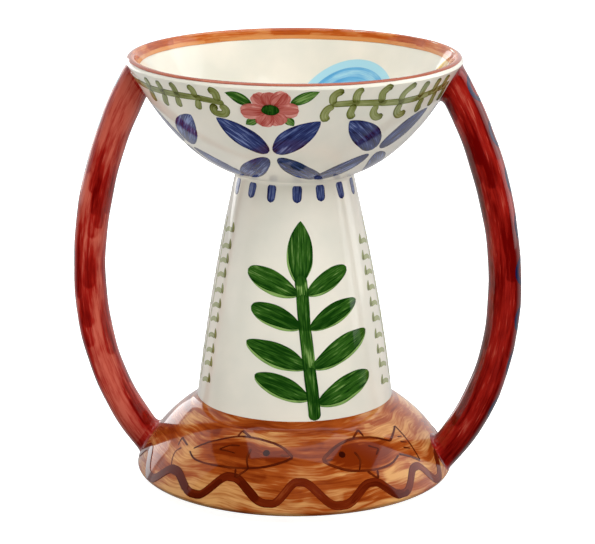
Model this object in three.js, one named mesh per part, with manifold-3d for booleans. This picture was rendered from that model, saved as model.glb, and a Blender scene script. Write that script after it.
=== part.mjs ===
// Two-handled footed bowl: a wide bowl carried on a tapering stem and a domed foot, with two arched
// handles from just under the rim down to the shoulder of the foot. Painted and glazed white clay.
// Units are millimetres and +Z is up. The origin is the centre of the plane that the foot rests on,
// and the handles lie on the X axis.

import * as THREE from 'three';
import { mergeVertices } from 'three/addons/utils/BufferGeometryUtils.js';
import Module from 'manifold-3d';

// Driving dimensions
const OVERALL_HEIGHT = 300;
const JOINT_GAP = 0.3; // clearance between two neighbouring pieces
const SEGMENTS = 60; // facets round every turned piece
const ARC_STEPS = 8; // steps along each curved outline
const CUTTER_REACH = 30; // how far a cutter goes beyond the piece that it clears

const RIM_RADIUS = 115.2;
const BOWL_WALL = 6;
const BOWL_BASE_HEIGHT = 219.7; // underside of the bowl, where it sits on the stem
const BOWL_BASE_RADIUS = 41;
const BOWL_FLOOR_THICKNESS = 9;
const BOWL_FLOOR_RADIUS = 22; // flat middle of the floor inside
const BOWL_SIDE_PULLS = [[84.7, 235.6], [105.1, 280.5]]; // what the side bends towards, from below
const BOWL_SIDE_STEPS = 11;
const BOWL_CURVE_CLEARANCE = 2; // where the inner side stops over the floor

const NECK_COIL_HEIGHT = 3.2; // clay coil that lutes the bowl to the stem
const STEM_WALL = 7;
const STEM_TOP_RADIUS = 40.4;
const STEM_MIDDLE_RADIUS = 59.4;
const STEM_MIDDLE_HEIGHT = 125;
const STEM_BASE_RADIUS = 69.2;
const STEM_BASE_HEIGHT = 60;
const BASE_COIL_HEIGHT = 3.2; // clay coil that lutes the stem to the foot

const FOOT_WALL = 8;
const FOOT_TOP_RADIUS = 69.7;
const FOOT_SHOULDER_RADIUS = 98;
const FOOT_SHOULDER_HEIGHT = 32;
const FOOT_RADIUS = 111.3;
const FOOT_EDGE_HEIGHT = 10; // height of the widest line of the foot
const FOOT_LIP_RADIUS = 109; // where the rounded edge ends and the sloping underside begins
const FOOT_LIP_HEIGHT = 6.9;
const FOOT_REST_RADIUS = 88; // outer edge of the ring that the foot stands on
const FOOT_REST_WIDTH = 11;
const FOOT_OPENING_RADIUS = 54; // way up from the foot into the stem
const FOOT_HOLLOW_RADII = [58, 95]; // the curved wall of the hollow lies between these

const HANDLE_THICKNESS = 23.4;
const HANDLE_TOP = [99.3, 297]; // inside the bowl's wall
const HANDLE_PULLS = [[132, 256], [188.9, 102.8]]; // what the handle bends towards, from the top
const HANDLE_BOTTOM = [95.4, 10]; // inside the foot
const HANDLE_SIDES = 14;
const HANDLE_STEPS = 30;

const COLLAR_SPREAD = 16.6; // half width of the clay pressed round a handle end
const COLLAR_LENGTH = 11.5; // half length of that collar along the handle
const COLLAR_SEGMENTS = [18, 10]; // facets round and along a collar
const UPPER_CROSSING = 0.055; // share of the handle's length at which it meets the bowl
const UPPER_COLLAR_SHIFT = 5; // how far down the handle from there the collar's middle lies
const LOWER_CROSSING = 0.945; // and at which it meets the foot
const LOWER_COLLAR_SHIFT = -3;

const { Manifold, Mesh: SolidMesh } = await loadManifold();

async function loadManifold() {
	const wasm = await Module();
	wasm.setup();
	return wasm;
}

// A closed geometry as a manifold solid.
function toSolid(geometry) {
	const plain = geometry.clone();
	plain.deleteAttribute('normal');
	plain.deleteAttribute('uv');
	const merged = mergeVertices(plain, 1e-3);
	const vertProperties = new Float32Array(merged.attributes.position.array);
	const triVerts = new Uint32Array(merged.index.array);
	return new Manifold(new SolidMesh({ numProp: 3, vertProperties, triVerts }));
}

// A manifold solid as a geometry that a mesh can carry.
function toGeometry(solid) {
	const { vertProperties, numProp, triVerts } = solid.getMesh();
	const positions = new Float32Array(vertProperties.length / numProp * 3);
	for (let vertex = 0; vertex < vertProperties.length / numProp; vertex++) {
		for (let axis = 0; axis < 3; axis++) {
			positions[vertex * 3 + axis] = vertProperties[vertex * numProp + axis];
		}
	}
	const geometry = new THREE.BufferGeometry();
	geometry.setAttribute('position', new THREE.BufferAttribute(positions, 3));
	geometry.setIndex(new THREE.BufferAttribute(new Uint32Array(triVerts), 1));
	geometry.computeVertexNormals();
	return geometry;
}

// Points on the arc through three given points, in steps, first and last included.
function arcThrough(first, middle, last, steps) {
	const a = middle.clone().sub(first);
	const b = last.clone().sub(first);
	const cross = 2 * (a.x * b.y - a.y * b.x);
	const centre = new THREE.Vector2(
		first.x + (b.y * a.lengthSq() - a.y * b.lengthSq()) / cross,
		first.y + (a.x * b.lengthSq() - b.x * a.lengthSq()) / cross,
	);
	const from = first.clone().sub(centre);
	const to = last.clone().sub(centre);
	const turn = Math.atan2(from.cross(to), from.dot(to));
	const points = [];
	for (let step = 0; step <= steps; step++) {
		points.push(first.clone().rotateAround(centre, turn * step / steps));
	}
	return points;
}

// The outline moved to its left by a distance, point by point.
function offsetOutline(points, distance) {
	return points.map((point, index) => {
		const before = points[Math.max(index - 1, 0)];
		const after = points[Math.min(index + 1, points.length - 1)];
		const along = after.clone().sub(before).normalize();
		return new THREE.Vector2(point.x - along.y * distance, point.y + along.x * distance);
	});
}

// A solid of revolution about +Z from points of (radius, height).
function turned(points) {
	return new THREE.LatheGeometry(points, SEGMENTS).rotateX(Math.PI / 2);
}

// Outer side of the bowl, from its base up to the rim.
function bowlSide() {
	const side = new THREE.CubicBezierCurve(
		new THREE.Vector2(BOWL_BASE_RADIUS, BOWL_BASE_HEIGHT),
		new THREE.Vector2(...BOWL_SIDE_PULLS[0]),
		new THREE.Vector2(...BOWL_SIDE_PULLS[1]),
		new THREE.Vector2(RIM_RADIUS, OVERALL_HEIGHT - BOWL_WALL / 2),
	);
	return side.getPoints(BOWL_SIDE_STEPS);
}

// Bowl of even wall with a rounded lip and a thick flat floor.
function makeBowl() {
	const outside = bowlSide();
	const inside = offsetOutline(outside, BOWL_WALL).reverse();
	const floorHeight = BOWL_BASE_HEIGHT + BOWL_FLOOR_THICKNESS;
	const insideWall = inside.filter((point) => point.y > floorHeight + BOWL_CURVE_CLEARANCE);
	const lip = arcThrough(
		outside[outside.length - 1],
		new THREE.Vector2(RIM_RADIUS - BOWL_WALL / 2, OVERALL_HEIGHT),
		inside[0],
		4,
	).slice(1, -1);
	return turned([
		new THREE.Vector2(0, BOWL_BASE_HEIGHT),
		...outside,
		...lip,
		...insideWall,
		new THREE.Vector2(BOWL_FLOOR_RADIUS, floorHeight),
		new THREE.Vector2(0, floorHeight),
	]);
}

// Outer side of the stem, from its base up to the bowl.
function stemSide() {
	return arcThrough(
		new THREE.Vector2(STEM_BASE_RADIUS, STEM_BASE_HEIGHT),
		new THREE.Vector2(STEM_MIDDLE_RADIUS, STEM_MIDDLE_HEIGHT),
		new THREE.Vector2(STEM_TOP_RADIUS, BOWL_BASE_HEIGHT - NECK_COIL_HEIGHT - JOINT_GAP),
		ARC_STEPS,
	);
}

// Hollow tapering stem, open at both ends.
function makeStem() {
	const outside = stemSide();
	const inside = outside.map((point) => new THREE.Vector2(point.x - STEM_WALL, point.y)).reverse();
	return turned([...outside, ...inside, outside[0]]);
}

// Flat ring of clay between two turned pieces.
function makeCoilRing(radius, wall, bottom, height) {
	const inner = radius - wall;
	return turned([
		new THREE.Vector2(radius, bottom),
		new THREE.Vector2(radius, bottom + height),
		new THREE.Vector2(inner, bottom + height),
		new THREE.Vector2(inner, bottom),
		new THREE.Vector2(radius, bottom),
	]);
}

// Outer dome of the foot, from its widest line up to the stem.
function footDome() {
	const top = STEM_BASE_HEIGHT - BASE_COIL_HEIGHT - 2 * JOINT_GAP;
	return arcThrough(
		new THREE.Vector2(FOOT_RADIUS, FOOT_EDGE_HEIGHT),
		new THREE.Vector2(FOOT_SHOULDER_RADIUS, FOOT_SHOULDER_HEIGHT),
		new THREE.Vector2(FOOT_TOP_RADIUS, top),
		ARC_STEPS,
	);
}

// Domed foot, hollow underneath: a rounded edge, and a sloping underside in to the ring it stands on.
function makeFoot() {
	const edge = arcThrough(
		new THREE.Vector2(FOOT_LIP_RADIUS, FOOT_LIP_HEIGHT),
		new THREE.Vector2(FOOT_RADIUS - 0.6, (FOOT_LIP_HEIGHT + FOOT_EDGE_HEIGHT) / 2 - 0.2),
		new THREE.Vector2(FOOT_RADIUS, FOOT_EDGE_HEIGHT),
		3,
	).slice(0, -1);
	const rest = new THREE.Vector2(FOOT_REST_RADIUS, 0);
	const dome = footDome();
	const top = dome[dome.length - 1].y;
	const [hollowStart, hollowEnd] = FOOT_HOLLOW_RADII;
	const hollow = offsetOutline(dome, FOOT_WALL).reverse();
	const hollowWall = hollow.filter((point) => point.x > hollowStart && point.x < hollowEnd);
	return turned([
		rest,
		...edge,
		...dome,
		new THREE.Vector2(FOOT_OPENING_RADIUS, top),
		new THREE.Vector2(FOOT_OPENING_RADIUS, top - FOOT_WALL),
		...hollowWall,
		new THREE.Vector2(FOOT_REST_RADIUS - FOOT_REST_WIDTH, 0),
		rest,
	]);
}

// Centre line of the right-hand handle, starting and ending inside the bowl and the foot.
function handlePath() {
	const points = [HANDLE_TOP, ...HANDLE_PULLS, HANDLE_BOTTOM];
	return new THREE.CubicBezierCurve3(...points.map(([reach, height]) => new THREE.Vector3(reach, 0, height)));
}

// Round bar of clay along the handle's centre line.
function makeHandleBar(radius) {
	const section = new THREE.Shape();
	for (let side = 0; side < HANDLE_SIDES; side++) {
		const angle = 2 * Math.PI * side / HANDLE_SIDES;
		const corner = new THREE.Vector2(radius, 0).rotateAround(new THREE.Vector2(), angle);
		if (side === 0) section.moveTo(corner.x, corner.y);
		else section.lineTo(corner.x, corner.y);
	}
	section.closePath();
	return new THREE.ExtrudeGeometry(section, {
		steps: HANDLE_STEPS,
		bevelEnabled: false,
		extrudePath: handlePath(),
	});
}

// Everything inside the bowl's outer side, and the space above it, grown by the joint gap.
function bowlCutter() {
	const side = bowlSide().map((point) => new THREE.Vector2(point.x + JOINT_GAP, point.y - JOINT_GAP));
	const above = OVERALL_HEIGHT + CUTTER_REACH;
	const cutter = [
		new THREE.Vector2(0, side[0].y),
		...side,
		new THREE.Vector2(RIM_RADIUS + JOINT_GAP, above),
		new THREE.Vector2(0, above),
	];
	return toSolid(turned(cutter));
}

// Everything inside the foot's outer dome, and the space under it, grown by the joint gap.
function footCutter() {
	const side = footDome().map((point) => new THREE.Vector2(point.x + JOINT_GAP, point.y + JOINT_GAP));
	const below = -CUTTER_REACH;
	const cutter = [
		new THREE.Vector2(0, below),
		new THREE.Vector2(FOOT_RADIUS + JOINT_GAP, below),
		...side,
		new THREE.Vector2(0, side[side.length - 1].y),
	];
	return toSolid(turned(cutter));
}

// Rounded collar of clay pressed round a handle end, centred on the handle's centre line.
function makeCollarBlank(place, shift) {
	const path = handlePath();
	const direction = path.getTangentAt(place);
	const centre = path.getPointAt(place).addScaledVector(direction, shift);
	const collar = new THREE.SphereGeometry(1, ...COLLAR_SEGMENTS);
	collar.scale(COLLAR_SPREAD, COLLAR_LENGTH, COLLAR_SPREAD);
	collar.applyQuaternion(
		new THREE.Quaternion().setFromUnitVectors(new THREE.Vector3(0, 1, 0), direction),
	);
	return toSolid(collar.translate(centre.x, centre.y, centre.z));
}

const clayWhite = { color: 0xe9e4d4, roughness: 0.18, metalness: 0 };
const clayBrown = { color: 0xa9602a, roughness: 0.2, metalness: 0 };
const clayRed = { color: 0x8e1713, roughness: 0.18, metalness: 0 };

const model = new THREE.Group();

function addPiece(name, geometry, finish) {
	const mesh = new THREE.Mesh(geometry, new THREE.MeshStandardMaterial(finish));
	mesh.name = name;
	model.add(mesh);
	return mesh;
}

addPiece('bowl', makeBowl(), clayWhite);
addPiece('stem', makeStem(), clayWhite);
addPiece('foot', makeFoot(), clayBrown);

addPiece('neck_joint_coil', makeCoilRing(
	STEM_TOP_RADIUS,
	STEM_WALL,
	BOWL_BASE_HEIGHT - NECK_COIL_HEIGHT,
	NECK_COIL_HEIGHT - JOINT_GAP,
), clayWhite);
addPiece('base_joint_coil', makeCoilRing(
	STEM_BASE_RADIUS,
	STEM_WALL,
	STEM_BASE_HEIGHT - BASE_COIL_HEIGHT - JOINT_GAP,
	BASE_COIL_HEIGHT,
), clayWhite);

const bowlSolid = bowlCutter();
const footSolid = footCutter();
const barSolid = toSolid(makeHandleBar(HANDLE_THICKNESS / 2));
const barWithGap = toSolid(makeHandleBar(HANDLE_THICKNESS / 2 + JOINT_GAP));

const handle = barSolid.subtract(bowlSolid).subtract(footSolid);
const upperCollar = makeCollarBlank(UPPER_CROSSING, UPPER_COLLAR_SHIFT).subtract(barWithGap).subtract(bowlSolid);
const lowerCollar = makeCollarBlank(LOWER_CROSSING, LOWER_COLLAR_SHIFT).subtract(barWithGap).subtract(footSolid);

for (const [side, turn] of [['right', 0], ['left', Math.PI]]) {
	addPiece(`${side}_handle`, toGeometry(handle), clayRed).rotation.z = turn;
	addPiece(`${side}_upper_handle_coil`, toGeometry(upperCollar), clayRed).rotation.z = turn;
	addPiece(`${side}_lower_handle_coil`, toGeometry(lowerCollar), clayRed).rotation.z = turn;
}

export default model;
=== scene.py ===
"""Two-handled footed bowl of white clay: painted by hand, then dipped in a clear gloss glaze."""

import math

import bpy
import numpy as np
from bpy.props import FloatProperty, FloatVectorProperty, IntProperty, PointerProperty
from bpy.types import Operator, Panel, PropertyGroup
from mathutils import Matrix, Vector


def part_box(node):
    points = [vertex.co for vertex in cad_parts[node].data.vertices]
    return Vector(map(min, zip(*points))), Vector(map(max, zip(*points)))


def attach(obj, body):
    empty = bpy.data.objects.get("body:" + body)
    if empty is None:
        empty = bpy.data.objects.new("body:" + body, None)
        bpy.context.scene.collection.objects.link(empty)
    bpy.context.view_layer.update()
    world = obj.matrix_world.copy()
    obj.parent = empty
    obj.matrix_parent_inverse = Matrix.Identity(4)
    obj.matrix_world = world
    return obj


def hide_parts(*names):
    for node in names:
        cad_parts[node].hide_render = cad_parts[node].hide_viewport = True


bl_info = {
    "name": "Painted Footed Bowl",
    "version": (1, 0, 0),
    "blender": (4, 5, 0),
    "location": "3D View > Sidebar > Footed Bowl",
    "description": "Builds a hand-painted, glazed footed bowl with two arched handles",
    "category": "Object",
}

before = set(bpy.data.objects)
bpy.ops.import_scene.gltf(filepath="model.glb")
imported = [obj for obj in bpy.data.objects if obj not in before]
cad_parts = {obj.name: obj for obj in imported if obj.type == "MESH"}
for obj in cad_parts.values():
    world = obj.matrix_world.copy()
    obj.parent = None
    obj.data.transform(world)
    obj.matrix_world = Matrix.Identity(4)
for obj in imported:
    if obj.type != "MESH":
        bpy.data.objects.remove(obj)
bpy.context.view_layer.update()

MM = 0.001  # a millimetre in metres; every size below is in millimetres


def node_box(node):
    """Lowest and highest corner of a CAD node, in millimetres."""
    low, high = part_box(node)
    return low / MM, high / MM


BOWL_LOW, BOWL_HIGH = node_box("bowl")
FOOT_HIGH = node_box("foot")[1]

RIM_RADIUS = BOWL_HIGH.x
RIM_HEIGHT = BOWL_HIGH.z
BOWL_BASE = BOWL_LOW.z
STEM_BASE_RADIUS = node_box("stem")[1].x
FOOT_RADIUS = FOOT_HIGH.x
FOOT_TOP = FOOT_HIGH.z
HANDLE_RADIUS = node_box("right_handle")[1].y

# Outlines of the clay, as (radius, height). They bend towards a pull and run through a middle.
BOWL_BASE_RADIUS = 41.0
BOWL_SIDE_PULLS = [(84.7, 235.6), (105.1, 280.5)]
BOWL_FLOOR_RADIUS = 22  # flat middle of the floor
BOWL_FLOOR_EDGE = 46  # where the inner side begins to curl into the floor
STEM_MIDDLE = (59.4, 125.0)
FOOT_SHOULDER = (98.0, 32.0)
FOOT_OPENING = 54.0  # radius of the way up from the foot into the stem
HANDLE_TOP, HANDLE_BOTTOM = (99.3, 297.0), (95.4, 10.0)  # inside the bowl's side and inside the foot
HANDLE_PULLS = [(132.0, 256.0), (188.9, 102.8)]


def linear(colour):
    """An sRGB hex colour as linear red, green, blue."""
    channels = [int(colour[i : i + 2], 16) / 255 for i in (1, 3, 5)]
    return tuple(c / 12.92 if c <= 0.04045 else ((c + 0.055) / 1.055) ** 2.4 for c in channels)


def colour_setting(name, hex_colour, description):
    """A colour property with an sRGB hex default."""
    return FloatVectorProperty(
        name=name, description=description, default=linear(hex_colour),
        subtype="COLOR", size=3, min=0, max=1,
    )


def length_setting(name, millimetres, description):
    """A length property, kept in metres, with a default in millimetres."""
    return FloatProperty(
        name=name, description=description, default=millimetres * MM,
        subtype="DISTANCE", unit="LENGTH", min=0,
    )


class FootedBowlShape(PropertyGroup):
    """Sizes of the clay."""

    bowl_wall: length_setting("Bowl Wall", 6.0, "Thickness of the bowl's side and lip")
    bowl_floor: length_setting("Bowl Floor", 9.0, "Thickness of the bowl's floor")
    neck_radius: length_setting("Neck Radius", 40.6, "Radius where the stem meets the bowl")
    stem_wall: length_setting("Stem Wall", 7.0, "Thickness of the hollow stem")
    foot_wall: length_setting("Foot Wall", 8.0, "Thickness of the foot's dome")
    rest_radius: length_setting("Rest Radius", 88.0, "Outer radius of the ring that the foot stands on")
    edge_height: length_setting("Edge Height", 10.0, "Height of the foot's widest line")
    unevenness: length_setting("Unevenness", 0.45, "How far hand throwing leaves the walls out of round")
    turned_facets: IntProperty(
        name="Turned Facets", description="Facets round every turned piece", default=288, min=48,
    )


class FootedBowlColours(PropertyGroup):
    """Colours of the clay and of the paint under the glaze."""

    clay: colour_setting("Clay", "#EDE7D8", "White clay under clear glaze")
    clay_cool: colour_setting("Cool Clay", "#E2DFD1", "Where the glaze lies thick over the white clay")
    bare_clay: colour_setting("Bare Clay", "#E6D9C2", "Unglazed clay of the standing ring")
    wash_thin: colour_setting("Thin Wash", "#D49C5E", "Brown wash where the brush has run dry")
    wash: colour_setting("Wash", "#9F4A18", "Brown wash of the foot")
    wash_deep: colour_setting("Deep Wash", "#742705", "Brown wash where strokes overlap")
    red_thin: colour_setting("Thin Red", "#BF5B49", "Handle colour where the brush has run dry")
    red: colour_setting("Red", "#971A12", "Handle colour")
    red_deep: colour_setting("Deep Red", "#620100", "Handle colour where it has pooled")
    blue_thin: colour_setting("Thin Blue", "#8796C2", "Cobalt paint where the brush has run dry")
    blue: colour_setting("Blue", "#384477", "Cobalt paint of petals, dashes and rings")
    blue_deep: colour_setting("Deep Blue", "#14143E", "Cobalt paint where it has pooled")
    leaf_thin: colour_setting("Thin Leaf Green", "#86A85C", "Dark green paint where the brush has run dry")
    leaf: colour_setting("Leaf Green", "#33601B", "Dark green paint of the sprig")
    leaf_deep: colour_setting("Deep Leaf Green", "#0F3806", "Dark green paint where it has pooled")
    olive_thin: colour_setting("Thin Olive", "#A0A671", "Olive paint where the brush has run dry")
    olive: colour_setting("Olive", "#7B8146", "Olive paint of the vines")
    olive_deep: colour_setting("Deep Olive", "#45480F", "Olive paint where it has pooled")
    pink_thin: colour_setting("Thin Pink", "#E6B2A6", "Coral paint where the brush has run dry")
    pink: colour_setting("Pink", "#C8766B", "Coral paint of the flower")
    pink_deep: colour_setting("Deep Pink", "#A13B34", "Coral paint where it has pooled")
    rim_thin: colour_setting("Thin Rim Orange", "#D18C50", "Rim band where the brush has run dry")
    rim: colour_setting("Rim Orange", "#B7571D", "Rim band")
    rim_deep: colour_setting("Deep Rim Orange", "#963A08", "Rim band where strokes overlap")
    line_thin: colour_setting("Thin Line Brown", "#74300F", "Line drawing where the brush has run dry")
    line: colour_setting("Line Brown", "#521804", "Line drawing of the fish and the wave")
    line_deep: colour_setting("Deep Line Brown", "#330A02", "Line drawing where it has pooled")
    rust_thin: colour_setting("Thin Rust", "#9A4A20", "Wave where the brush has run dry")
    rust: colour_setting("Rust", "#6E2308", "Wave round the foot")
    rust_deep: colour_setting("Deep Rust", "#521302", "Wave where two lengths of it overlap")
    sky_thin: colour_setting("Pale Sky Blue", "#A9D8E6", "Outer ring of the disc in the bowl")
    sky: colour_setting("Sky Blue", "#6FB2DA", "Disc in the bowl")
    sky_deep: colour_setting("Deep Sky Blue", "#3C8FC9", "Disc in the bowl where the paint has pooled")
    sun: colour_setting("Yellow", "#EFCB62", "Yellow leaf in the bowl")


class FootedBowlStage(PropertyGroup):
    """The studio round the bowl."""

    floor: colour_setting("Floor", "#FAFAF8", "Pale floor")
    azimuth: FloatProperty(
        name="Azimuth", description="Camera's turn round the bowl, from the front towards the right handle",
        default=math.radians(9.2), subtype="ANGLE", unit="ROTATION",
    )
    distance: length_setting("Distance", 1654.0, "Camera's distance from the bowl's upright axis")
    height: length_setting("Height", 585.0, "Camera's height above the floor")
    tilt: FloatProperty(
        name="Tilt", description="How far the camera looks down",
        default=math.radians(14.83), subtype="ANGLE", unit="ROTATION",
    )
    pan: FloatProperty(
        name="Pan", description="How far the camera looks to the right of the bowl's upright axis",
        default=math.radians(0.07), subtype="ANGLE", unit="ROTATION",
    )
    lens: FloatProperty(
        name="Lens", description="Focal length on a 36 mm wide sensor, in millimetres",
        default=148.5, min=1,
    )


def shape(name):
    """A size from the shape settings, in millimetres."""
    return getattr(bpy.context.scene.footed_bowl_shape, name) / MM


def tint(name):
    """A colour from the colour settings, as red, green, blue, alpha."""
    return (*getattr(bpy.context.scene.footed_bowl_colours, name), 1.0)


# ---------------------------------------------------------------- outlines


def arc_through(first, middle, last, count):
    """Points of (radius, height) on the arc through three points."""
    first, middle, last = (np.array(p, float) for p in (first, middle, last))
    a, b = middle - first, last - first
    cross = 2 * (a[0] * b[1] - a[1] * b[0])
    centre = first + np.array([b[1] * (a @ a) - a[1] * (b @ b), a[0] * (b @ b) - b[0] * (a @ a)]) / cross
    start, end = first - centre, last - centre
    turn = math.atan2(start[0] * end[1] - start[1] * end[0], start @ end)
    angles = np.linspace(0, turn, count)
    cos, sin = np.cos(angles), np.sin(angles)
    return centre + np.stack([start[0] * cos - start[1] * sin, start[0] * sin + start[1] * cos], -1)


def bezier(points, count):
    """Points on a Bezier curve through any number of control points."""
    t = np.linspace(0, 1, count)[:, None]
    layers = [np.repeat([point], count, axis=0) for point in np.array(points, float)]
    while len(layers) > 1:
        layers = [a * (1 - t) + b * t for a, b in zip(layers, layers[1:])]
    return layers[0]


def runs(points):
    """Distance along a line of points, from its first."""
    return np.concatenate([[0], np.cumsum(np.linalg.norm(np.diff(points, axis=0), axis=1))])


def resampled(points, spacing):
    """The line of points with an even spacing."""
    run = runs(points)
    even = np.linspace(0, run[-1], max(int(run[-1] / spacing), 2) + 1)
    return np.stack([np.interp(even, run, points[:, i]) for i in range(points.shape[1])], -1)


def left_of(points):
    """Unit vectors pointing to the left of a line of (radius, height) points."""
    along = np.gradient(points, axis=0)
    along /= np.linalg.norm(along, axis=1)[:, None]
    return np.stack([-along[:, 1], along[:, 0]], -1)


def hand_wobble(angle, height):
    """How far hand throwing leaves the clay out of round, in millimetres outwards."""
    return shape("unevenness") * (
        0.6 * np.sin(2 * angle + 0.7)
        + 0.35 * np.sin(3 * angle + height / 45)
        + 0.2 * np.sin(5 * angle - height / 31 + 2)
    )


class TurnedWall:
    """A surface turned on a wheel: an outline of (radius, height) taken round the upright axis.

    A place on it is an angle, from the front towards the right handle, and a run along the outline
    from the point named as its start.
    """

    def __init__(self, outline, backwards=False, start=0.0):
        self.outline = outline
        self.normal = -left_of(outline)
        run = runs(outline)
        if backwards:
            self.outline, self.normal = self.outline[::-1], self.normal[::-1]
            run = run[-1] - run[::-1]
        self.run = run - start

    def radius(self, run):
        return np.interp(run, self.run, self.outline[:, 0])

    def height(self, run):
        return np.interp(run, self.run, self.outline[:, 1])

    def run_at(self, height):
        """The run at which the outline reaches a height; the outline climbs or falls all the way."""
        heights = self.outline[:, 1]
        order = np.argsort(heights)
        return np.interp(height, heights[order], self.run[order])

    def gap(self, points):
        """How far points stand out from the wall, away from the upright axis."""
        heights = self.outline[:, 1]
        order = np.argsort(heights)
        angle = np.arctan2(points[..., 0], -points[..., 1])
        radius = np.interp(points[..., 2], heights[order], self.outline[order, 0])
        return np.hypot(points[..., 0], points[..., 1]) - radius - hand_wobble(angle, points[..., 2])

    def find(self, points):
        """Angle and run of points that lie on the wall."""
        return np.arctan2(points[..., 0], -points[..., 1]), self.run_at(points[..., 2])

    def place(self, angle, run, lift=0.0):
        """Points on the wall, or lifted off it along its normal, in millimetres."""
        radius = self.radius(run) + lift * np.interp(run, self.run, self.normal[:, 0])
        height = self.height(run) + lift * np.interp(run, self.run, self.normal[:, 1])
        radius = radius + hand_wobble(angle, height) * np.clip(radius / 20, 0, 1)
        return np.stack([radius * np.sin(angle), -radius * np.cos(angle), height], -1)


def bowl_side():
    """The bowl's outer side, from its base up to the lip."""
    lip = (RIM_RADIUS, RIM_HEIGHT - shape("bowl_wall") / 2)
    return bezier([(BOWL_BASE_RADIUS, BOWL_BASE), *BOWL_SIDE_PULLS, lip], 112)


def bowl_inner_side():
    """The bowl's inner side, from the lip down to the floor, and over the floor to the middle."""
    side = bowl_side()
    inner = (side + left_of(side) * shape("bowl_wall"))[::-1]
    floor = BOWL_BASE + shape("bowl_floor")
    wall = inner[inner[:, 1] > floor + 7]
    curl = [wall[-1], (BOWL_FLOOR_EDGE, floor + 0.6), (BOWL_FLOOR_RADIUS, floor), (0.0, floor)]
    return np.vstack([wall, bezier(curl, 30)[1:]])


def bowl_lip():
    """The rounded lip, from the outer side over to the inner side."""
    outer, inner = bowl_side()[-1], bowl_inner_side()[0]
    crest = ((outer[0] + inner[0]) / 2, RIM_HEIGHT)
    return arc_through(outer, crest, inner, 15)


LIP_RUN = 1.6  # run from the lip's crest to where the bowl's side would reach the rim's height


def bowl_outside():
    """The painted outside of the bowl: runs start just outside the lip's crest and go down."""
    lip = bowl_lip()[:8]
    return TurnedWall(np.vstack([bowl_side(), lip[1:]]), backwards=True, start=LIP_RUN)


def bowl_inside():
    """The painted lip and inside of the bowl: runs start at the lip's crest and go down."""
    lip = bowl_lip()
    return TurnedWall(np.vstack([lip, bowl_inner_side()[1:]]), start=runs(lip[:8])[-1])


def stem_outside():
    """The painted outside of the stem: runs start under the bowl and go down."""
    neck = (shape("neck_radius"), BOWL_BASE)
    return TurnedWall(arc_through((STEM_BASE_RADIUS, FOOT_TOP), STEM_MIDDLE, neck, 110), backwards=True)


def foot_dome():
    """The foot's outer dome, from its widest line up to the stem."""
    edge, top = (FOOT_RADIUS, shape("edge_height")), (STEM_BASE_RADIUS + 0.5, FOOT_TOP)
    return arc_through(edge, FOOT_SHOULDER, top, 90)


def foot_roll():
    """The foot's sloping underside, from the standing ring out to its rounded edge and widest line."""
    rest, edge = shape("rest_radius"), shape("edge_height")
    lip = (FOOT_RADIUS - 2.3, edge - 3.1)
    slope = np.linspace((rest, 0.0), lip, 12)
    curl = arc_through(lip, (FOOT_RADIUS - 0.6, edge - 1.75), (FOOT_RADIUS, edge), 10)
    return np.vstack([slope[:-1], curl])


def foot_outside():
    """The painted outside of the foot: runs start at the stem and go down."""
    return TurnedWall(np.vstack([foot_roll()[:-1], foot_dome()]), backwards=True)


class HandleWall:
    """The surface of a handle: a round bar along an arched centre line.

    A place on it is an angle round the bar, from its outer face towards the front, and a run down the
    centre line from the bowl.
    """

    def __init__(self, side):
        self.side = side
        self.line = resampled(bezier([HANDLE_TOP, *HANDLE_PULLS, HANDLE_BOTTOM], 500), 0.5)
        self.run = runs(self.line)
        self.outward = left_of(self.line)

    def radius(self, run):
        """The bar is a little thinner in the middle, as rolled clay is, and never quite even."""
        middle = self.run[-1] / 2
        slimmer = 0.35 * np.exp(-(((run - middle) / 70) ** 2))
        return HANDLE_RADIUS - slimmer + 0.18 * np.sin(run / 13 + self.side) + 0.1 * np.sin(run / 5.3)

    def place(self, angle, run, lift=0.0):
        across = (self.radius(run) + lift) * np.cos(angle)
        sideways = (self.radius(run) + lift) * np.sin(angle)
        reach, height = (
            np.interp(run, self.run, self.line[:, i]) + across * np.interp(run, self.run, self.outward[:, i])
            for i in (0, 1)
        )
        return np.stack([self.side * reach, -sideways + 0 * reach, height], -1)

    def notes(self, angle, run):
        """Where places lie in the handle's long brush strokes, in millimetres."""
        return np.stack([HANDLE_RADIUS * np.sin(angle), HANDLE_RADIUS * np.cos(angle), run], -1)


# ---------------------------------------------------------------- meshes


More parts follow.
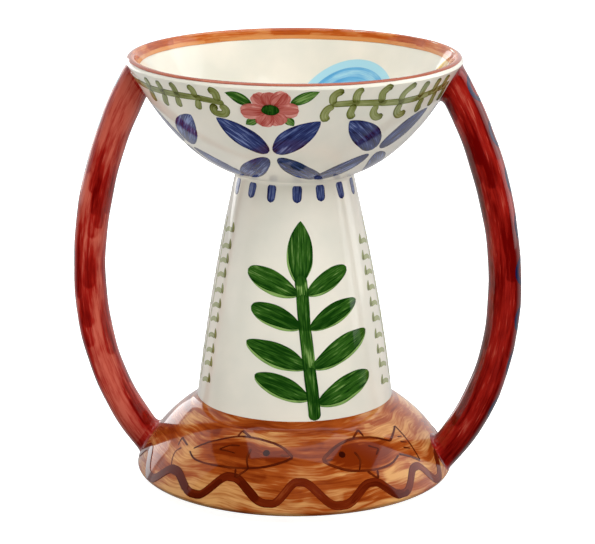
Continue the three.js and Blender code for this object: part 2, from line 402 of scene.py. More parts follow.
class Clay:
    """Vertices, faces and per-vertex notes gathered for one piece.

    The notes steer the paint: lay is where a vertex lies in its stroke, in millimetres, load is how far
    across and along the stroke it is, and coats is how many other strokes lie under it.
    """

    def __init__(self):
        self.points, self.lay, self.load, self.coats, self.faces, self.slots = [], [], [], [], [], []
        self.count = 0
        self.strokes = []

    def add_points(self, points, lay=0.0, load=0.0, coats=0.0):
        """Adds points with their notes and returns the index of the first."""
        first = self.count
        points = np.asarray(points, float).reshape(-1, 3)
        self.points.append(points)
        for notes, values, width in ((self.lay, lay, 3), (self.load, load, 3), (self.coats, coats, 1)):
            values = np.asarray(values, float)
            full = values.reshape(-1, width) if values.ndim else np.full((len(points), width), float(values))
            notes.append(full)
        self.count += len(points)
        return first

    def add_faces(self, faces, slot=0):
        self.faces.extend(faces)
        self.slots.extend([slot] * len(faces))

    def add_grid(self, first, rows, columns, wrap_rows=False, wrap_columns=False, slot=0, flip=False):
        """Faces over a grid of points that was added row by row."""
        faces = []
        for i in range(rows if wrap_rows else rows - 1):
            below = (i + 1) % rows
            for j in range(columns if wrap_columns else columns - 1):
                right = (j + 1) % columns
                face = (
                    first + i * columns + j,
                    first + below * columns + j,
                    first + below * columns + right,
                    first + i * columns + right,
                )
                faces.append(face[::-1] if flip else face)
        self.add_faces(faces, slot)

    def piece(self, name, materials, slot, replaces=(), sharp=50):
        """The finished object, riding on the bowl's one body."""
        mesh = bpy.data.meshes.new(name)
        mesh.from_pydata((np.vstack(self.points) * MM).tolist(), [], self.faces)
        for key, values in (("lay", self.lay), ("load", self.load)):
            attribute = mesh.attributes.new(key, "FLOAT_VECTOR", "POINT")
            attribute.data.foreach_set("vector", np.vstack(values).ravel())
        attribute = mesh.attributes.new("coats", "FLOAT", "POINT")
        attribute.data.foreach_set("value", np.vstack(self.coats).ravel())
        for material in materials:
            mesh.materials.append(material)
        mesh.polygons.foreach_set("material_index", self.slots)
        mesh.polygons.foreach_set("use_smooth", [True] * len(self.faces))
        mesh.update()
        mesh.set_sharp_from_angle(angle=math.radians(sharp))
        piece = bpy.data.objects.new(name, mesh)
        bpy.context.scene.collection.objects.link(piece)
        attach(piece, "root")
        if replaces:
            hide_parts(*replaces)
        return piece


def turned_piece(name, outline, materials, slot, replaces=(), closed=False, skins=None, coats_of=None):
    """A piece turned on the wheel, from an outline that climbs its outside and falls down its inside.

    skins gives the material after each outline point and coats_of the coats of paint at places (angle,
    height).
    """
    clay = Clay()
    facets = int(bpy.context.scene.footed_bowl_shape.turned_facets)
    angle = np.linspace(0, 2 * math.pi, facets, endpoint=False)
    rings = outline if closed else outline[1:-1]
    skins = [0] * len(rings) if skins is None else skins
    along = runs(rings)
    rows = len(rings)
    for (radius, height), run in zip(rings, along):
        reach = radius + hand_wobble(angle, height) * min(radius / 20, 1)
        ring = np.stack([reach * np.sin(angle), -reach * np.cos(angle), np.full(facets, height)], -1)
        lay = np.stack([radius * np.sin(angle), radius * np.cos(angle), np.full(facets, run)], -1)
        clay.add_points(ring, lay, 0.0, coats_of(angle, height) if coats_of else 0.0)
    for i in range(rows if closed else rows - 1):
        low, high = i * facets, ((i + 1) % rows) * facets
        faces = []
        for j in range(facets):
            k = (j + 1) % facets
            faces.append((low + j, low + k, high + k, high + j))
        clay.add_faces(faces, skins[i])
    if not closed:
        for ring, pole, top in ((0, outline[0], False), (rows - 1, outline[-1], True)):
            centre = clay.add_points([(0, 0, pole[1])], [(0, 0, along[ring])])
            fan = []
            for j in range(facets):
                a, b = ring * facets + j, ring * facets + (j + 1) % facets
                fan.append((centre, a, b) if top else (centre, b, a))
            clay.add_faces(fan, skins[ring])
    return clay.piece(name, materials, slot, replaces, sharp=40)


def smooth_line(points, closed=False, steps=14):
    """A smooth line through the points (Catmull-Rom)."""
    points = np.array(points, float)
    if closed:
        padded = np.vstack([points[-1], points, points[0], points[1]])
    else:
        padded = np.vstack([2 * points[0] - points[1], points, 2 * points[-1] - points[-2]])
    t = np.linspace(0, 1, steps, endpoint=False)[:, None]
    line = []
    for a, b, c, d in zip(padded, padded[1:], padded[2:], padded[3:]):
        bend, twist = 2 * a - 5 * b + 4 * c - d, 3 * b - a - 3 * c + d
        line.append(0.5 * (2 * b + (c - a) * t + bend * t**2 + twist * t**3))
    line = np.vstack(line)
    return line if closed else np.vstack([line, points[-1]])


def leaf(swell=0.5, tip=0.75, base=0.75):
    """A function that gives the share of the full width along a leaf or petal that is widest at swell.

    tip and base say how pointed its first and last end are: 0.4 is round and 1 is sharp. Like bar's,
    the function is also given the stroke's length and half width, which a leaf has no use for.
    """
    power = math.log(0.5) / math.log(swell)

    def width(t, length, half):
        swelling = np.maximum(np.sin(math.pi * np.clip(t, 0, 1) ** power), 0)
        return swelling ** (tip + (base - tip) * t)

    return width


def bar(start=1.0, end=1.0):
    """A function that gives the share of the full width along a plain stroke with round ends.

    start and end say how full the width is there.
    """

    def width(t, length, half):
        nearest = np.minimum(t, 1 - t) * length / max(half, 0.01)
        round_end = np.sqrt(np.clip(1 - (1 - np.clip(nearest, 0, 1)) ** 2, 0, 1))
        return round_end * (start + (end - start) * t)

    return width


PAINT_LIFT = 0.06  # how far each layer of paint stands proud of the one below, in millimetres
PAINT_SINK = 0.25  # how far the underside of a stroke reaches into the clay
FEATHER = 0.7  # width over which a stroke's edge thins out, in millimetres
MOST_COATS = 1.6  # more strokes than this darken the paint no further
TONE_SHIFT = 97  # sets the streaks of each stroke apart from those of the others, in millimetres
THINNEST_STROKE = 0.06  # half width at the pointed end of a stroke, in millimetres
ACROSS = np.array([-1, -0.92, -0.72, -0.4, 0, 0.4, 0.72, 0.92, 1])  # places across a stroke, edge to edge


def coats_under(clay, wall, angle, run):
    """How many earlier strokes lie under places on a wall, and how many layers deep they lie."""
    coats = np.zeros(angle.shape)
    layer = 0
    around = wall.radius(run)
    for spine, width, below in clay.strokes:
        across = (angle[..., None] - spine[:, 0] + math.pi) % (2 * math.pi) - math.pi
        gap = np.hypot(across * around[..., None], run[..., None] - spine[:, 1]) - width
        cover = np.clip(-gap.min(-1) / FEATHER + 0.5, 0, 1)
        if cover.max() > 0:
            coats += cover
            layer = max(layer, below)
    return np.minimum(coats, MOST_COATS), layer


def brush_stroke(clay, wall, points, half, profile, rng, closed=False, spacing=0.9, slot=0, across=ACROSS):
    """One stroke of a loaded brush, laid on a wall along (degrees, run) points.

    half is half its width and profile, a leaf or a bar, says how that changes along it.
    """
    points = np.array(points, float)
    line = smooth_line(np.stack([np.radians(points[:, 0]), points[:, 1]], -1), closed)
    if closed:
        line = np.vstack([line, line[:1]])
    step = np.diff(line, axis=0)
    if closed:
        step[-1, 0] = (step[-1, 0] + math.pi) % (2 * math.pi) - math.pi
    pace = np.hypot(step[:, 0] * wall.radius((line[1:, 1] + line[:-1, 1]) / 2), step[:, 1])
    run = np.concatenate([[0], np.cumsum(pace)])
    length = run[-1]
    count = max(int(length / spacing), 6) + 1
    along = np.linspace(0, length, count, endpoint=not closed)
    line = np.stack([np.interp(along, run, line[:, i]) for i in range(2)], -1)
    around = wall.radius(line[:, 1])
    direction = np.roll(line, -1, axis=0) - np.roll(line, 1, axis=0) if closed else np.gradient(line, axis=0)
    direction = np.stack([direction[:, 0] * around, direction[:, 1]], -1)
    direction /= np.maximum(np.linalg.norm(direction, axis=1), 1e-9)[:, None]
    t = along / length
    phase = rng.uniform(0, 2 * math.pi, 3)
    shake = 1 + 0.022 * np.sin(along / 6.1 + phase[0]) + 0.01 * np.sin(along / 2.7 + phase[1])
    if closed:
        width = np.full(count, half)
    else:
        width = np.maximum(half * profile(t, length, half) * shake, THINNEST_STROKE)
    drift = 0 if closed else 0.02 * half * np.sin(along / 5.1 + phase[2])
    tone = rng.uniform(0, 1)
    columns = len(across)
    offset = across * width[:, None] + np.reshape(drift, (-1, 1))
    angle = line[:, :1] - direction[:, 1:] * offset / around[:, None]
    place = line[:, 1:] + direction[:, :1] * offset
    shares = np.broadcast_to(np.abs(across), offset.shape)
    shift = tone * TONE_SHIFT
    if closed:
        turn = 2 * math.pi * t[:, None] + 0 * offset
        reach = length / 6.3
        lay = np.stack([offset + shift, reach * np.cos(turn), reach * np.sin(turn)], -1)
    else:
        lay = np.stack([offset, along[:, None] + 0 * offset, np.full_like(offset, shift)], -1)
    load = np.stack([shares, t[:, None] * (not closed) + 0 * offset, np.full_like(offset, tone)], -1)
    coats, layer = coats_under(clay, wall, angle, place)
    clay.strokes.append((line[::2], width[::2], layer + 1))
    upper = wall.place(angle, place, PAINT_LIFT * (layer + 1))
    lower = wall.place(angle, place, -PAINT_SINK)
    flip = faces_down(upper, lower)
    first = clay.add_points(upper, lay, load, coats.ravel())
    second = clay.add_points(lower, lay, load, coats.ravel())
    clay.add_grid(first, count, columns, wrap_rows=closed, slot=slot, flip=flip)
    clay.add_grid(second, count, columns, wrap_rows=closed, slot=slot, flip=not flip)
    join_sheets(clay, first, second, count, columns, closed, slot, flip)


def faces_down(upper, lower):
    """Whether faces over the upper sheet of points, taken row by row, would point at the lower one."""
    i, j = upper.shape[0] // 2, upper.shape[1] // 2
    normal = np.cross(upper[i + 1, j] - upper[i, j], upper[i, j + 1] - upper[i, j])
    return bool(normal @ (upper[i, j] - lower[i, j]) < 0)


def join_sheets(clay, first, second, rows, columns, closed, slot, flip):
    """Walls between the upper and lower sheet of a stroke."""
    left = [i * columns for i in range(rows)]
    right = [i + columns - 1 for i in left]
    if closed:
        borders = [left + left[:1], (right + right[:1])[::-1]]
    else:
        start, end = list(range(columns)), list(range((rows - 1) * columns, rows * columns))
        borders = [left + end[1:] + right[-2::-1] + start[-2::-1]]
    faces = []
    for border in borders:
        for a, b in zip(border, border[1:]):
            face = (first + a, second + a, second + b, first + b)
            faces.append(face[::-1] if flip else face)
    clay.add_faces(faces, slot)


def paint_patch(clay, wall, centre, outline, rng, rings=14, slot=0):
    """A filled patch round a (degrees, run) centre. outline gives its radius for each direction."""
    turn = np.linspace(0, 2 * math.pi, 72, endpoint=False)
    reach = outline(turn) * (1 + 0.012 * np.sin(7 * turn + rng.uniform(0, 2 * math.pi)))
    share = np.linspace(0, 1, rings + 1)[1:, None] ** 0.8
    tone = rng.uniform(0, 1)
    run = centre[1] - share * np.sin(turn) * reach
    angle = math.radians(centre[0]) + share * np.cos(turn) * reach / wall.radius(run)
    shares = np.broadcast_to(share, run.shape)
    shift = tone * TONE_SHIFT
    lay = np.stack([shares * reach * np.cos(turn), shares * reach * np.sin(turn), shares * 0 + shift], -1)
    load = np.stack([shares, shares * 0, shares * 0 + tone], -1)
    coats, layer = coats_under(clay, wall, angle, run)
    middle_place = np.array([math.radians(centre[0])]), np.array([float(centre[1])])
    columns = len(turn)
    last = (rings - 1) * columns
    lifts = PAINT_LIFT * (layer + 1), -PAINT_SINK
    down = faces_down(*(wall.place(angle, run, lift) for lift in lifts))
    sheets = []
    for lift, flip in zip(lifts, (down, not down)):
        first = clay.add_points(wall.place(angle, run, lift), lay, load, coats.ravel())
        middle = clay.add_points(wall.place(*middle_place, lift), [(0, 0, shift)], [(0, 0, tone)], [0.0])
        clay.add_grid(first, rings, columns, wrap_columns=True, slot=slot, flip=flip)
        fan = []
        for j in range(columns):
            face = (middle, first + j, first + (j + 1) % columns)
            fan.append(face[::-1] if flip else face)
        clay.add_faces(fan, slot)
        sheets.append(first + last)
    faces = []
    for j in range(columns):
        k = (j + 1) % columns
        face = (sheets[0] + j, sheets[1] + j, sheets[1] + k, sheets[0] + k)
        faces.append(face[::-1] if down else face)
    clay.add_faces(faces, slot)
    spine = np.array([[math.radians(centre[0]), centre[1]]])
    clay.strokes.append((spine, np.array([reach.mean()]), layer + 1))


# ---------------------------------------------------------------- materials


def add_node(tree, kind, values=None, links=None, stops=(), **choices):
    """Adds a shader node: choices are its own settings, values fill its sockets and links feed them."""
    new = tree.nodes.new("ShaderNode" + kind)
    for key, value in choices.items():
        setattr(new, key, value)
    for key, value in (values or {}).items():
        new.inputs[key].default_value = value
    for key, source in (links or {}).items():
        tree.links.new(source, new.inputs[key])
    for i, (position, colour) in enumerate(stops):
        ramp = new.color_ramp.elements
        stop = ramp[i] if i < 2 else ramp.new(position)
        stop.position, stop.color = position, colour
    return new


def make_material(name, build):
    """A material with one glossy shader, fed by what build makes in the material's node tree."""
    material = bpy.data.materials.get(name)
    if material is None:
        material = bpy.data.materials.new(name)
        material.use_nodes = True
        tree = material.node_tree
        tree.nodes.clear()
        values, links = build(tree)
        shader = add_node(tree, "BsdfPrincipled", values, links)
        add_node(tree, "OutputMaterial", links={"Surface": shader.outputs["BSDF"]})
    return material


MIX_FACTOR, MIX_FIRST, MIX_SECOND, MIX_RESULT = 0, 6, 7, 2  # sockets of a Mix node set to colours
GLAZE = {"IOR": 1.52, "Metallic": 0.0}  # clear lead-free glaze refracts as window glass does
WASH_GLAZE = {"IOR": 1.38, "Metallic": 0.0}  # the wash soaks up some of the glaze over it


def note(tree, name):
    """A per-vertex note of the mesh, such as where a vertex lies in its brush stroke."""
    return add_node(tree, "Attribute", attribute_name=name)


def streaks(tree, source, marks, detail=4.0, roughness=0.6):
    """Noise drawn out into brush marks: marks is their size along each of source's directions, in
    millimetres."""
    scale = tuple(1 / size for size in marks)
    drawn = add_node(tree, "VectorMath", {1: scale}, {0: source}, operation="MULTIPLY")
    return add_node(
        tree, "TexNoise", {"Scale": 1.0, "Detail": detail, "Roughness": roughness},
        {"Vector": drawn.outputs[0]},
    ).outputs["Fac"]


def weighted_sum(tree, start, terms):
    """start plus every term times its weight, as one number per point."""
    total = None
    for source, weight in terms:
        values = {1: weight, 2: start}
        links = {0: source}
        if total is not None:
            links[2] = total
        total = add_node(tree, "Math", values, links, operation="MULTIPLY_ADD").outputs[0]
    return total


def glaze_surface(tree):
    """The glaze's gloss and its slow waves, where it ran before it set: 25 mm apart, 0.16 mm deep."""
    place = add_node(tree, "TexCoord").outputs["Object"]
    waves = add_node(
        tree, "TexNoise", {"Scale": 1 / (25 * MM), "Detail": 1.5, "Roughness": 0.35}, {"Vector": place}
    )
    bump = add_node(
        tree, "Bump", {"Strength": 1.0, "Distance": 0.16 * MM}, {"Height": waves.outputs["Fac"]}
    )
    gloss = add_node(
        tree, "MapRange", {"From Min": 0.3, "From Max": 0.7, "To Min": 0.045, "To Max": 0.085},
        {"Value": waves.outputs["Fac"]},
    )
    return {"Normal": bump.outputs["Normal"], "Roughness": gloss.outputs["Result"]}


def underglaze_paint(
    name, thin, body, deep, level=0.42, streak=0.9, patch=0.7, coat=0.2, edge=0.22, pool=0.25, glaze=GLAZE,
):
    """Mineral paint under clear glaze: bristle streaks along the stroke, darker at its edge and its end
    and wherever two strokes cross.

    level is how deep its colour is, from thin at 0.1 over body at 0.45 to deep at 0.9. The rest say how
    much its streaks, its patches, a coat below, its edge and its end change that.
    """

    def build(tree):
        lay = note(tree, "lay").outputs["Vector"]
        load = add_node(tree, "SeparateXYZ", links={0: note(tree, "load").outputs["Vector"]})
        bristles = streaks(tree, lay, (1.053, 18.2, 18.2))
        patches = streaks(tree, lay, (4.55, 16.7, 16.7), detail=2.0)
        rim = add_node(
            tree, "MapRange", {"From Min": 0.72, "From Max": 0.96}, {"Value": load.outputs["X"]},
            interpolation_type="SMOOTHSTEP",
        )
        end = add_node(
            tree, "MapRange", {"From Min": 0.75, "From Max": 1.0}, {"Value": load.outputs["Y"]},
            interpolation_type="SMOOTHSTEP",
        )
        depth = weighted_sum(tree, level - streak / 2 - patch / 2 - 0.08, [
            (bristles, streak),
            (patches, patch),
            (rim.outputs["Result"], edge),
            (end.outputs["Result"], pool),
            (load.outputs["Z"], 0.16),
            (note(tree, "coats").outputs["Fac"], coat),
        ])
        colour = add_node(
            tree, "ValToRGB", links={"Fac": depth},
            stops=[(0.1, tint(thin)), (0.45, tint(body)), (0.9, tint(deep))],
        )
        return glaze, {"Base Color": colour.outputs["Color"], **glaze_surface(tree)}

    return make_material(name, build)


def white_glazed_earthenware():
    """Cream-white clay under clear glaze: creamy, faintly cooler where the glaze lies thick, with a few
    iron specks and a wavy gloss."""

    def build(tree):
        place = add_node(tree, "TexCoord").outputs["Object"]
        clouds = add_node(
            tree, "TexNoise", {"Scale": 1 / (38 * MM), "Detail": 3.0, "Roughness": 0.5}, {"Vector": place}
        )
        cream = add_node(
            tree, "ValToRGB", links={"Fac": clouds.outputs["Fac"]},
            stops=[(0.35, tint("clay_cool")), (0.65, tint("clay"))],
        )
        grains = add_node(tree, "TexVoronoi", {"Scale": 1 / (6 * MM)}, {"Vector": place})
        specks = add_node(
            tree, "MapRange", {"From Min": 0.05, "From Max": 0.02, "To Max": 0.35},
            {"Value": grains.outputs["Distance"]},
        )
        colour = add_node(
            tree, "Mix", {MIX_SECOND: tint("wash_thin")},
            {MIX_FACTOR: specks.outputs["Result"], MIX_FIRST: cream.outputs["Color"]}, data_type="RGBA",
        )
        return GLAZE, {"Base Color": colour.outputs[MIX_RESULT], **glaze_surface(tree)}

    return make_material("white_glazed_earthenware", build)


def unglazed_earthenware():
    """Bare fired clay, wiped clean of glaze so that the foot doesn't stick to the kiln shelf: matt, warm
    and finely gritty."""

    def build(tree):
        place = add_node(tree, "TexCoord").outputs["Object"]
        grit = add_node(tree, "TexNoise", {"Scale": 1 / (0.8 * MM), "Detail": 4.0}, {"Vector": place})
        stain = add_node(tree, "TexNoise", {"Scale": 1 / (20 * MM), "Detail": 3.0}, {"Vector": place})
        colour = add_node(
            tree, "ValToRGB", links={"Fac": stain.outputs["Fac"]},
            stops=[(0.3, tint("wash_thin")), (0.5, tint("bare_clay")), (0.8, tint("clay"))],
        )
        bump = add_node(
            tree, "Bump", {"Strength": 0.6, "Distance": 0.1 * MM}, {"Height": grit.outputs["Fac"]}
        )
        links = {"Base Color": colour.outputs["Color"], "Normal": bump.outputs["Normal"]}
        return {"Roughness": 0.75, "IOR": 1.5}, links

    return make_material("unglazed_earthenware", build)


def brown_oxide_wash():
    """Iron-brown wash under clear glaze, brushed round the foot: long dry bristle marks, paler where the
    brush ran out and along the bottom edge."""

    def build(tree):
        place = add_node(tree, "TexCoord").outputs["Object"]
        sway = add_node(tree, "TexNoise", {"Scale": 1 / (42 * MM), "Detail": 1.0}, {"Vector": place})
        most_sway = 20  # how far the marks wander off their course, in millimetres
        swaying = add_node(
            tree, "VectorMath", {1: (0, 0, most_sway)},
            {0: sway.outputs["Fac"], 2: note(tree, "lay").outputs["Vector"]}, operation="MULTIPLY_ADD",
        ).outputs[0]
        bristles = streaks(tree, swaying, (33.3, 33.3, 1.667), detail=5.0)
        dry = streaks(tree, swaying, (40, 40, 11.1), detail=3.0)
        broad = streaks(tree, swaying, (55.6, 55.6, 22.2), detail=1.0)
        height = add_node(tree, "SeparateXYZ", links={0: place})
        bottom = add_node(
            tree, "MapRange", {"From Min": 6 * MM, "From Max": 0.5 * MM}, {"Value": height.outputs["Z"]}
        )
        depth = weighted_sum(tree, -0.76, [
            (bristles, 0.9),
            (dry, 1.1),
            (broad, 0.55),
            (bottom.outputs["Result"], -0.3),
            (note(tree, "coats").outputs["Fac"], 0.16),
        ])
        colour = add_node(
            tree, "ValToRGB", links={"Fac": depth},
            stops=[(0.15, tint("wash_thin")), (0.5, tint("wash")), (0.85, tint("wash_deep"))],
        )
        return WASH_GLAZE, {"Base Color": colour.outputs["Color"], **glaze_surface(tree)}

    return make_material("brown_oxide_wash", build)


def red_glaze():
    """Deep red glaze brushed along the handles: overlapping strokes, blood red where they pool, with dry
    orange-red bristle marks between."""

    def build(tree):
        lay = note(tree, "lay").outputs["Vector"]
        bristles = streaks(tree, lay, (2.38, 2.38, 28.6), detail=5.0, roughness=0.68)
        dry = streaks(tree, lay, (8.33, 8.33, 28.6), detail=2.5)
        scratches = add_node(
            tree, "MapRange", {"From Min": 0.6, "From Max": 0.72, "To Max": 1.0},
            {"Value": streaks(tree, lay, (1.43, 1.43, 22.2), detail=3.0)}, interpolation_type="SMOOTHSTEP",
        )
        depth = weighted_sum(tree, -0.62, [
            (bristles, 1.25),
            (dry, 0.95),
            (scratches.outputs["Result"], -0.3),
            (note(tree, "coats").outputs["Fac"], 0.24),
        ])
        colour = add_node(
            tree, "ValToRGB", links={"Fac": depth},
            stops=[(0.12, tint("red_thin")), (0.5, tint("red")), (0.9, tint("red_deep"))],
        )
        return GLAZE, {"Base Color": colour.outputs["Color"], **glaze_surface(tree)}

    return make_material("red_glaze", build)


# ---------------------------------------------------------------- clay pieces


WASH_BOTTOM = 5.5  # height below which the wash was wiped off the foot


def hollow_foot():
    """The foot's closed outline, and for each point whether the clay after it is left bare."""
    dome = foot_dome()
    outer = np.vstack([foot_roll()[:-1], dome])
    low = shape("edge_height") + 2
    under = (dome + left_of(dome) * shape("foot_wall"))[::-1]
    under = under[(under[:, 0] > FOOT_OPENING) & (under[:, 1] > low)]
    rest = shape("rest_radius")
    ring = [(under[-1, 0] - 1, low - 4), (rest - 5.0, 0.6), (rest - 2.0, 0.0)]
    bore = [(FOOT_OPENING, outer[-1, 1] - 1), (FOOT_OPENING, under[0, 1])]
    inner = np.vstack([bore, under, ring])
    bare = outer[:, 1] < WASH_BOTTOM
    return np.vstack([outer, inner]), [int(b) for b in bare] + [1] * len(inner)


def overlapping_strokes(rng, count, around, length, long, half, tilt=0.0, crosswise=False, first=0.0):
    """A function that gives how many long, round-ended strokes cover places (angle, run) on a wall.

    The strokes follow the run, or with crosswise go round the wall. Each fades in at its start and
    pools at its end. around is the wall's radius and length the run that the strokes cover. first is
    how thick the first coat under them all is, against a usual one.
    """
    strokes = []
    for _ in range(count):
        strokes.append((
            rng.uniform(0, 2 * math.pi), rng.uniform(-long[0] / 2, length), rng.uniform(*long),
            rng.uniform(*half), rng.uniform(-tilt, tilt), rng.choice([-1, 1]),
        ))

    def cover(angle, run):
        total = np.zeros(np.broadcast(angle, run).shape)
        for turn, start, reach, width, slope, way in strokes:
            sideways = ((angle - turn + math.pi) % (2 * math.pi) - math.pi) * around
            along, across = (sideways * way, run - start) if crosswise else (run - start, sideways)
            across = across - slope * along
            beyond = np.maximum(np.maximum(along - (reach - width), width - along), 0)
            inside = np.clip((width - np.hypot(across, beyond)) / 1.3, 0, 1)
            fade = np.clip(along / (0.6 * reach), 0, 1)
            total += inside * fade
        return np.minimum(total, 2.2) + first

    return cover


class FOOTEDBOWL_OT_bowl(Operator):
    """Throws the bowl: a flaring side, a rounded lip and a level floor"""

    bl_idname = "footed_bowl.bowl"
    bl_label = "Bowl"

    def execute(self, context):
        lip = bowl_lip()
        outline = np.vstack([[(0.0, BOWL_BASE)], bowl_side(), lip[1:-1], bowl_inner_side()])
        turned_piece(
            "thrown_bowl", outline, [white_glazed_earthenware()], "white_glazed_clay", ["bowl"],
        )
        return {"FINISHED"}


class FOOTEDBOWL_OT_stem(Operator):
    """Throws the hollow, waisted stem"""

    bl_idname = "footed_bowl.stem"
    bl_label = "Stem"

    def execute(self, context):
        outer = stem_outside().outline[::-1]
        inner = (outer + left_of(outer) * shape("stem_wall"))[::-2]
        turned_piece(
            "thrown_stem", np.vstack([outer, inner]), [white_glazed_earthenware()], "white_glazed_clay",
            ["stem"], closed=True,
        )
        return {"FINISHED"}


class FOOTEDBOWL_OT_foot(Operator):
    """Throws the spreading, hollow foot with its rolled edge and wiped standing ring"""

    bl_idname = "footed_bowl.foot"
    bl_label = "Foot"

    # The body of each fish: degrees and run of its middle, then half its length and half its height.
    fish_bodies = [(-16.0, 24.5, 24.0, 11.5), (39.5, 26.5, 18.5, 12.0)]

    def execute(self, context):
        outline, skins = hollow_foot()
        wall = foot_outside()
        around = (FOOT_RADIUS + STEM_BASE_RADIUS) / 2
        cover = overlapping_strokes(
            np.random.default_rng(5), 120, around, wall.run[-1], (35, 90), (3.5, 7.5), 0.12,
            crosswise=True, first=-0.9,
        )

        def coats_of(angle, height):
            """The wash's own strokes, and the second coat that fills the bodies of the fish."""
            run = wall.run_at(height)
            degrees = np.degrees(angle)
            coats = cover(angle, run)
            for centre, middle, long, high in self.fish_bodies:
                for turn in (0, 180):
                    aside = (degrees - centre - turn + 180) % 360 - 180
                    inside = 1 - np.hypot(aside / long, (run - middle) / high)
                    coats = coats + 1.5 * np.clip(3.5 * inside, 0, 1)
            return coats

        turned_piece(
            "thrown_foot", outline, [brown_oxide_wash(), unglazed_earthenware()], "brown_washed_clay",
            ["foot"], closed=True, skins=skins, coats_of=coats_of,
        )
        return {"FINISHED"}


def luted_ring(name, lower, corner, upper, material, slot, replaces):
    """A smoothed coil of clay in the corner between two turned pieces."""
    curve = bezier([lower, corner, upper], 12)
    inward = np.array([-1.6, 0.0])
    outline = np.vstack([curve, upper + inward * 1.2, corner + inward * 1.4, lower + inward])
    return turned_piece(name, outline, [material], slot, replaces, closed=True)


class FOOTEDBOWL_OT_luted_rings(Operator):
    """Smooths a coil of clay into the corners over and under the stem"""

    bl_idname = "footed_bowl.luted_rings"
    bl_label = "Luted Rings"

    def execute(self, context):
        stem, bowl, foot = stem_outside(), bowl_outside(), foot_outside()
        neck_low = np.array([float(stem.radius(2.2)), float(stem.height(2.2))])
        neck_corner = np.array([shape("neck_radius") + 0.3, BOWL_BASE])
        bowl_run = bowl.run[-1] - 3.4
        neck_high = np.array([float(bowl.radius(bowl_run)), float(bowl.height(bowl_run))])
        luted_ring(
            "luted_neck_ring", neck_low, neck_corner, neck_high, white_glazed_earthenware(),
            "white_glazed_clay", ["neck_joint_coil"],
        )
        foot_low = np.array([float(foot.radius(4.5)), float(foot.height(4.5))])
        foot_corner = np.array([STEM_BASE_RADIUS + 0.2, FOOT_TOP + 0.4])
        stem_run = stem.run[-1] - 4.0
        foot_high = np.array([float(stem.radius(stem_run)), float(stem.height(stem_run))])
        luted_ring(
            "luted_foot_ring", foot_low, foot_corner, foot_high, brown_oxide_wash(),
            "brown_washed_clay", ["base_joint_coil"],
        )
        return {"FINISHED"}


BAR_FACETS = 72
BAR_ANGLES = np.linspace(0, 2 * math.pi, BAR_FACETS, endpoint=False)
BAR_SINK = 2.0  # how far the end of a handle goes into the wall, along the handle


def meeting_runs(handle, wall, outside, inside):
    """The run, between one outside a wall and one inside it, where each line of the bar meets it."""
    steps = np.linspace(outside, inside, 600)
    gap = wall.gap(handle.place(BAR_ANGLES[:, None], steps[None, :]))
    after = np.maximum((gap <= 0).argmax(axis=1), 1)
    rows = np.arange(BAR_FACETS)
    out, into = gap[rows, after - 1], gap[rows, after]
    share = out / np.maximum(out - into, 1e-9)
    return steps[after - 1] + share * (steps[after] - steps[after - 1])


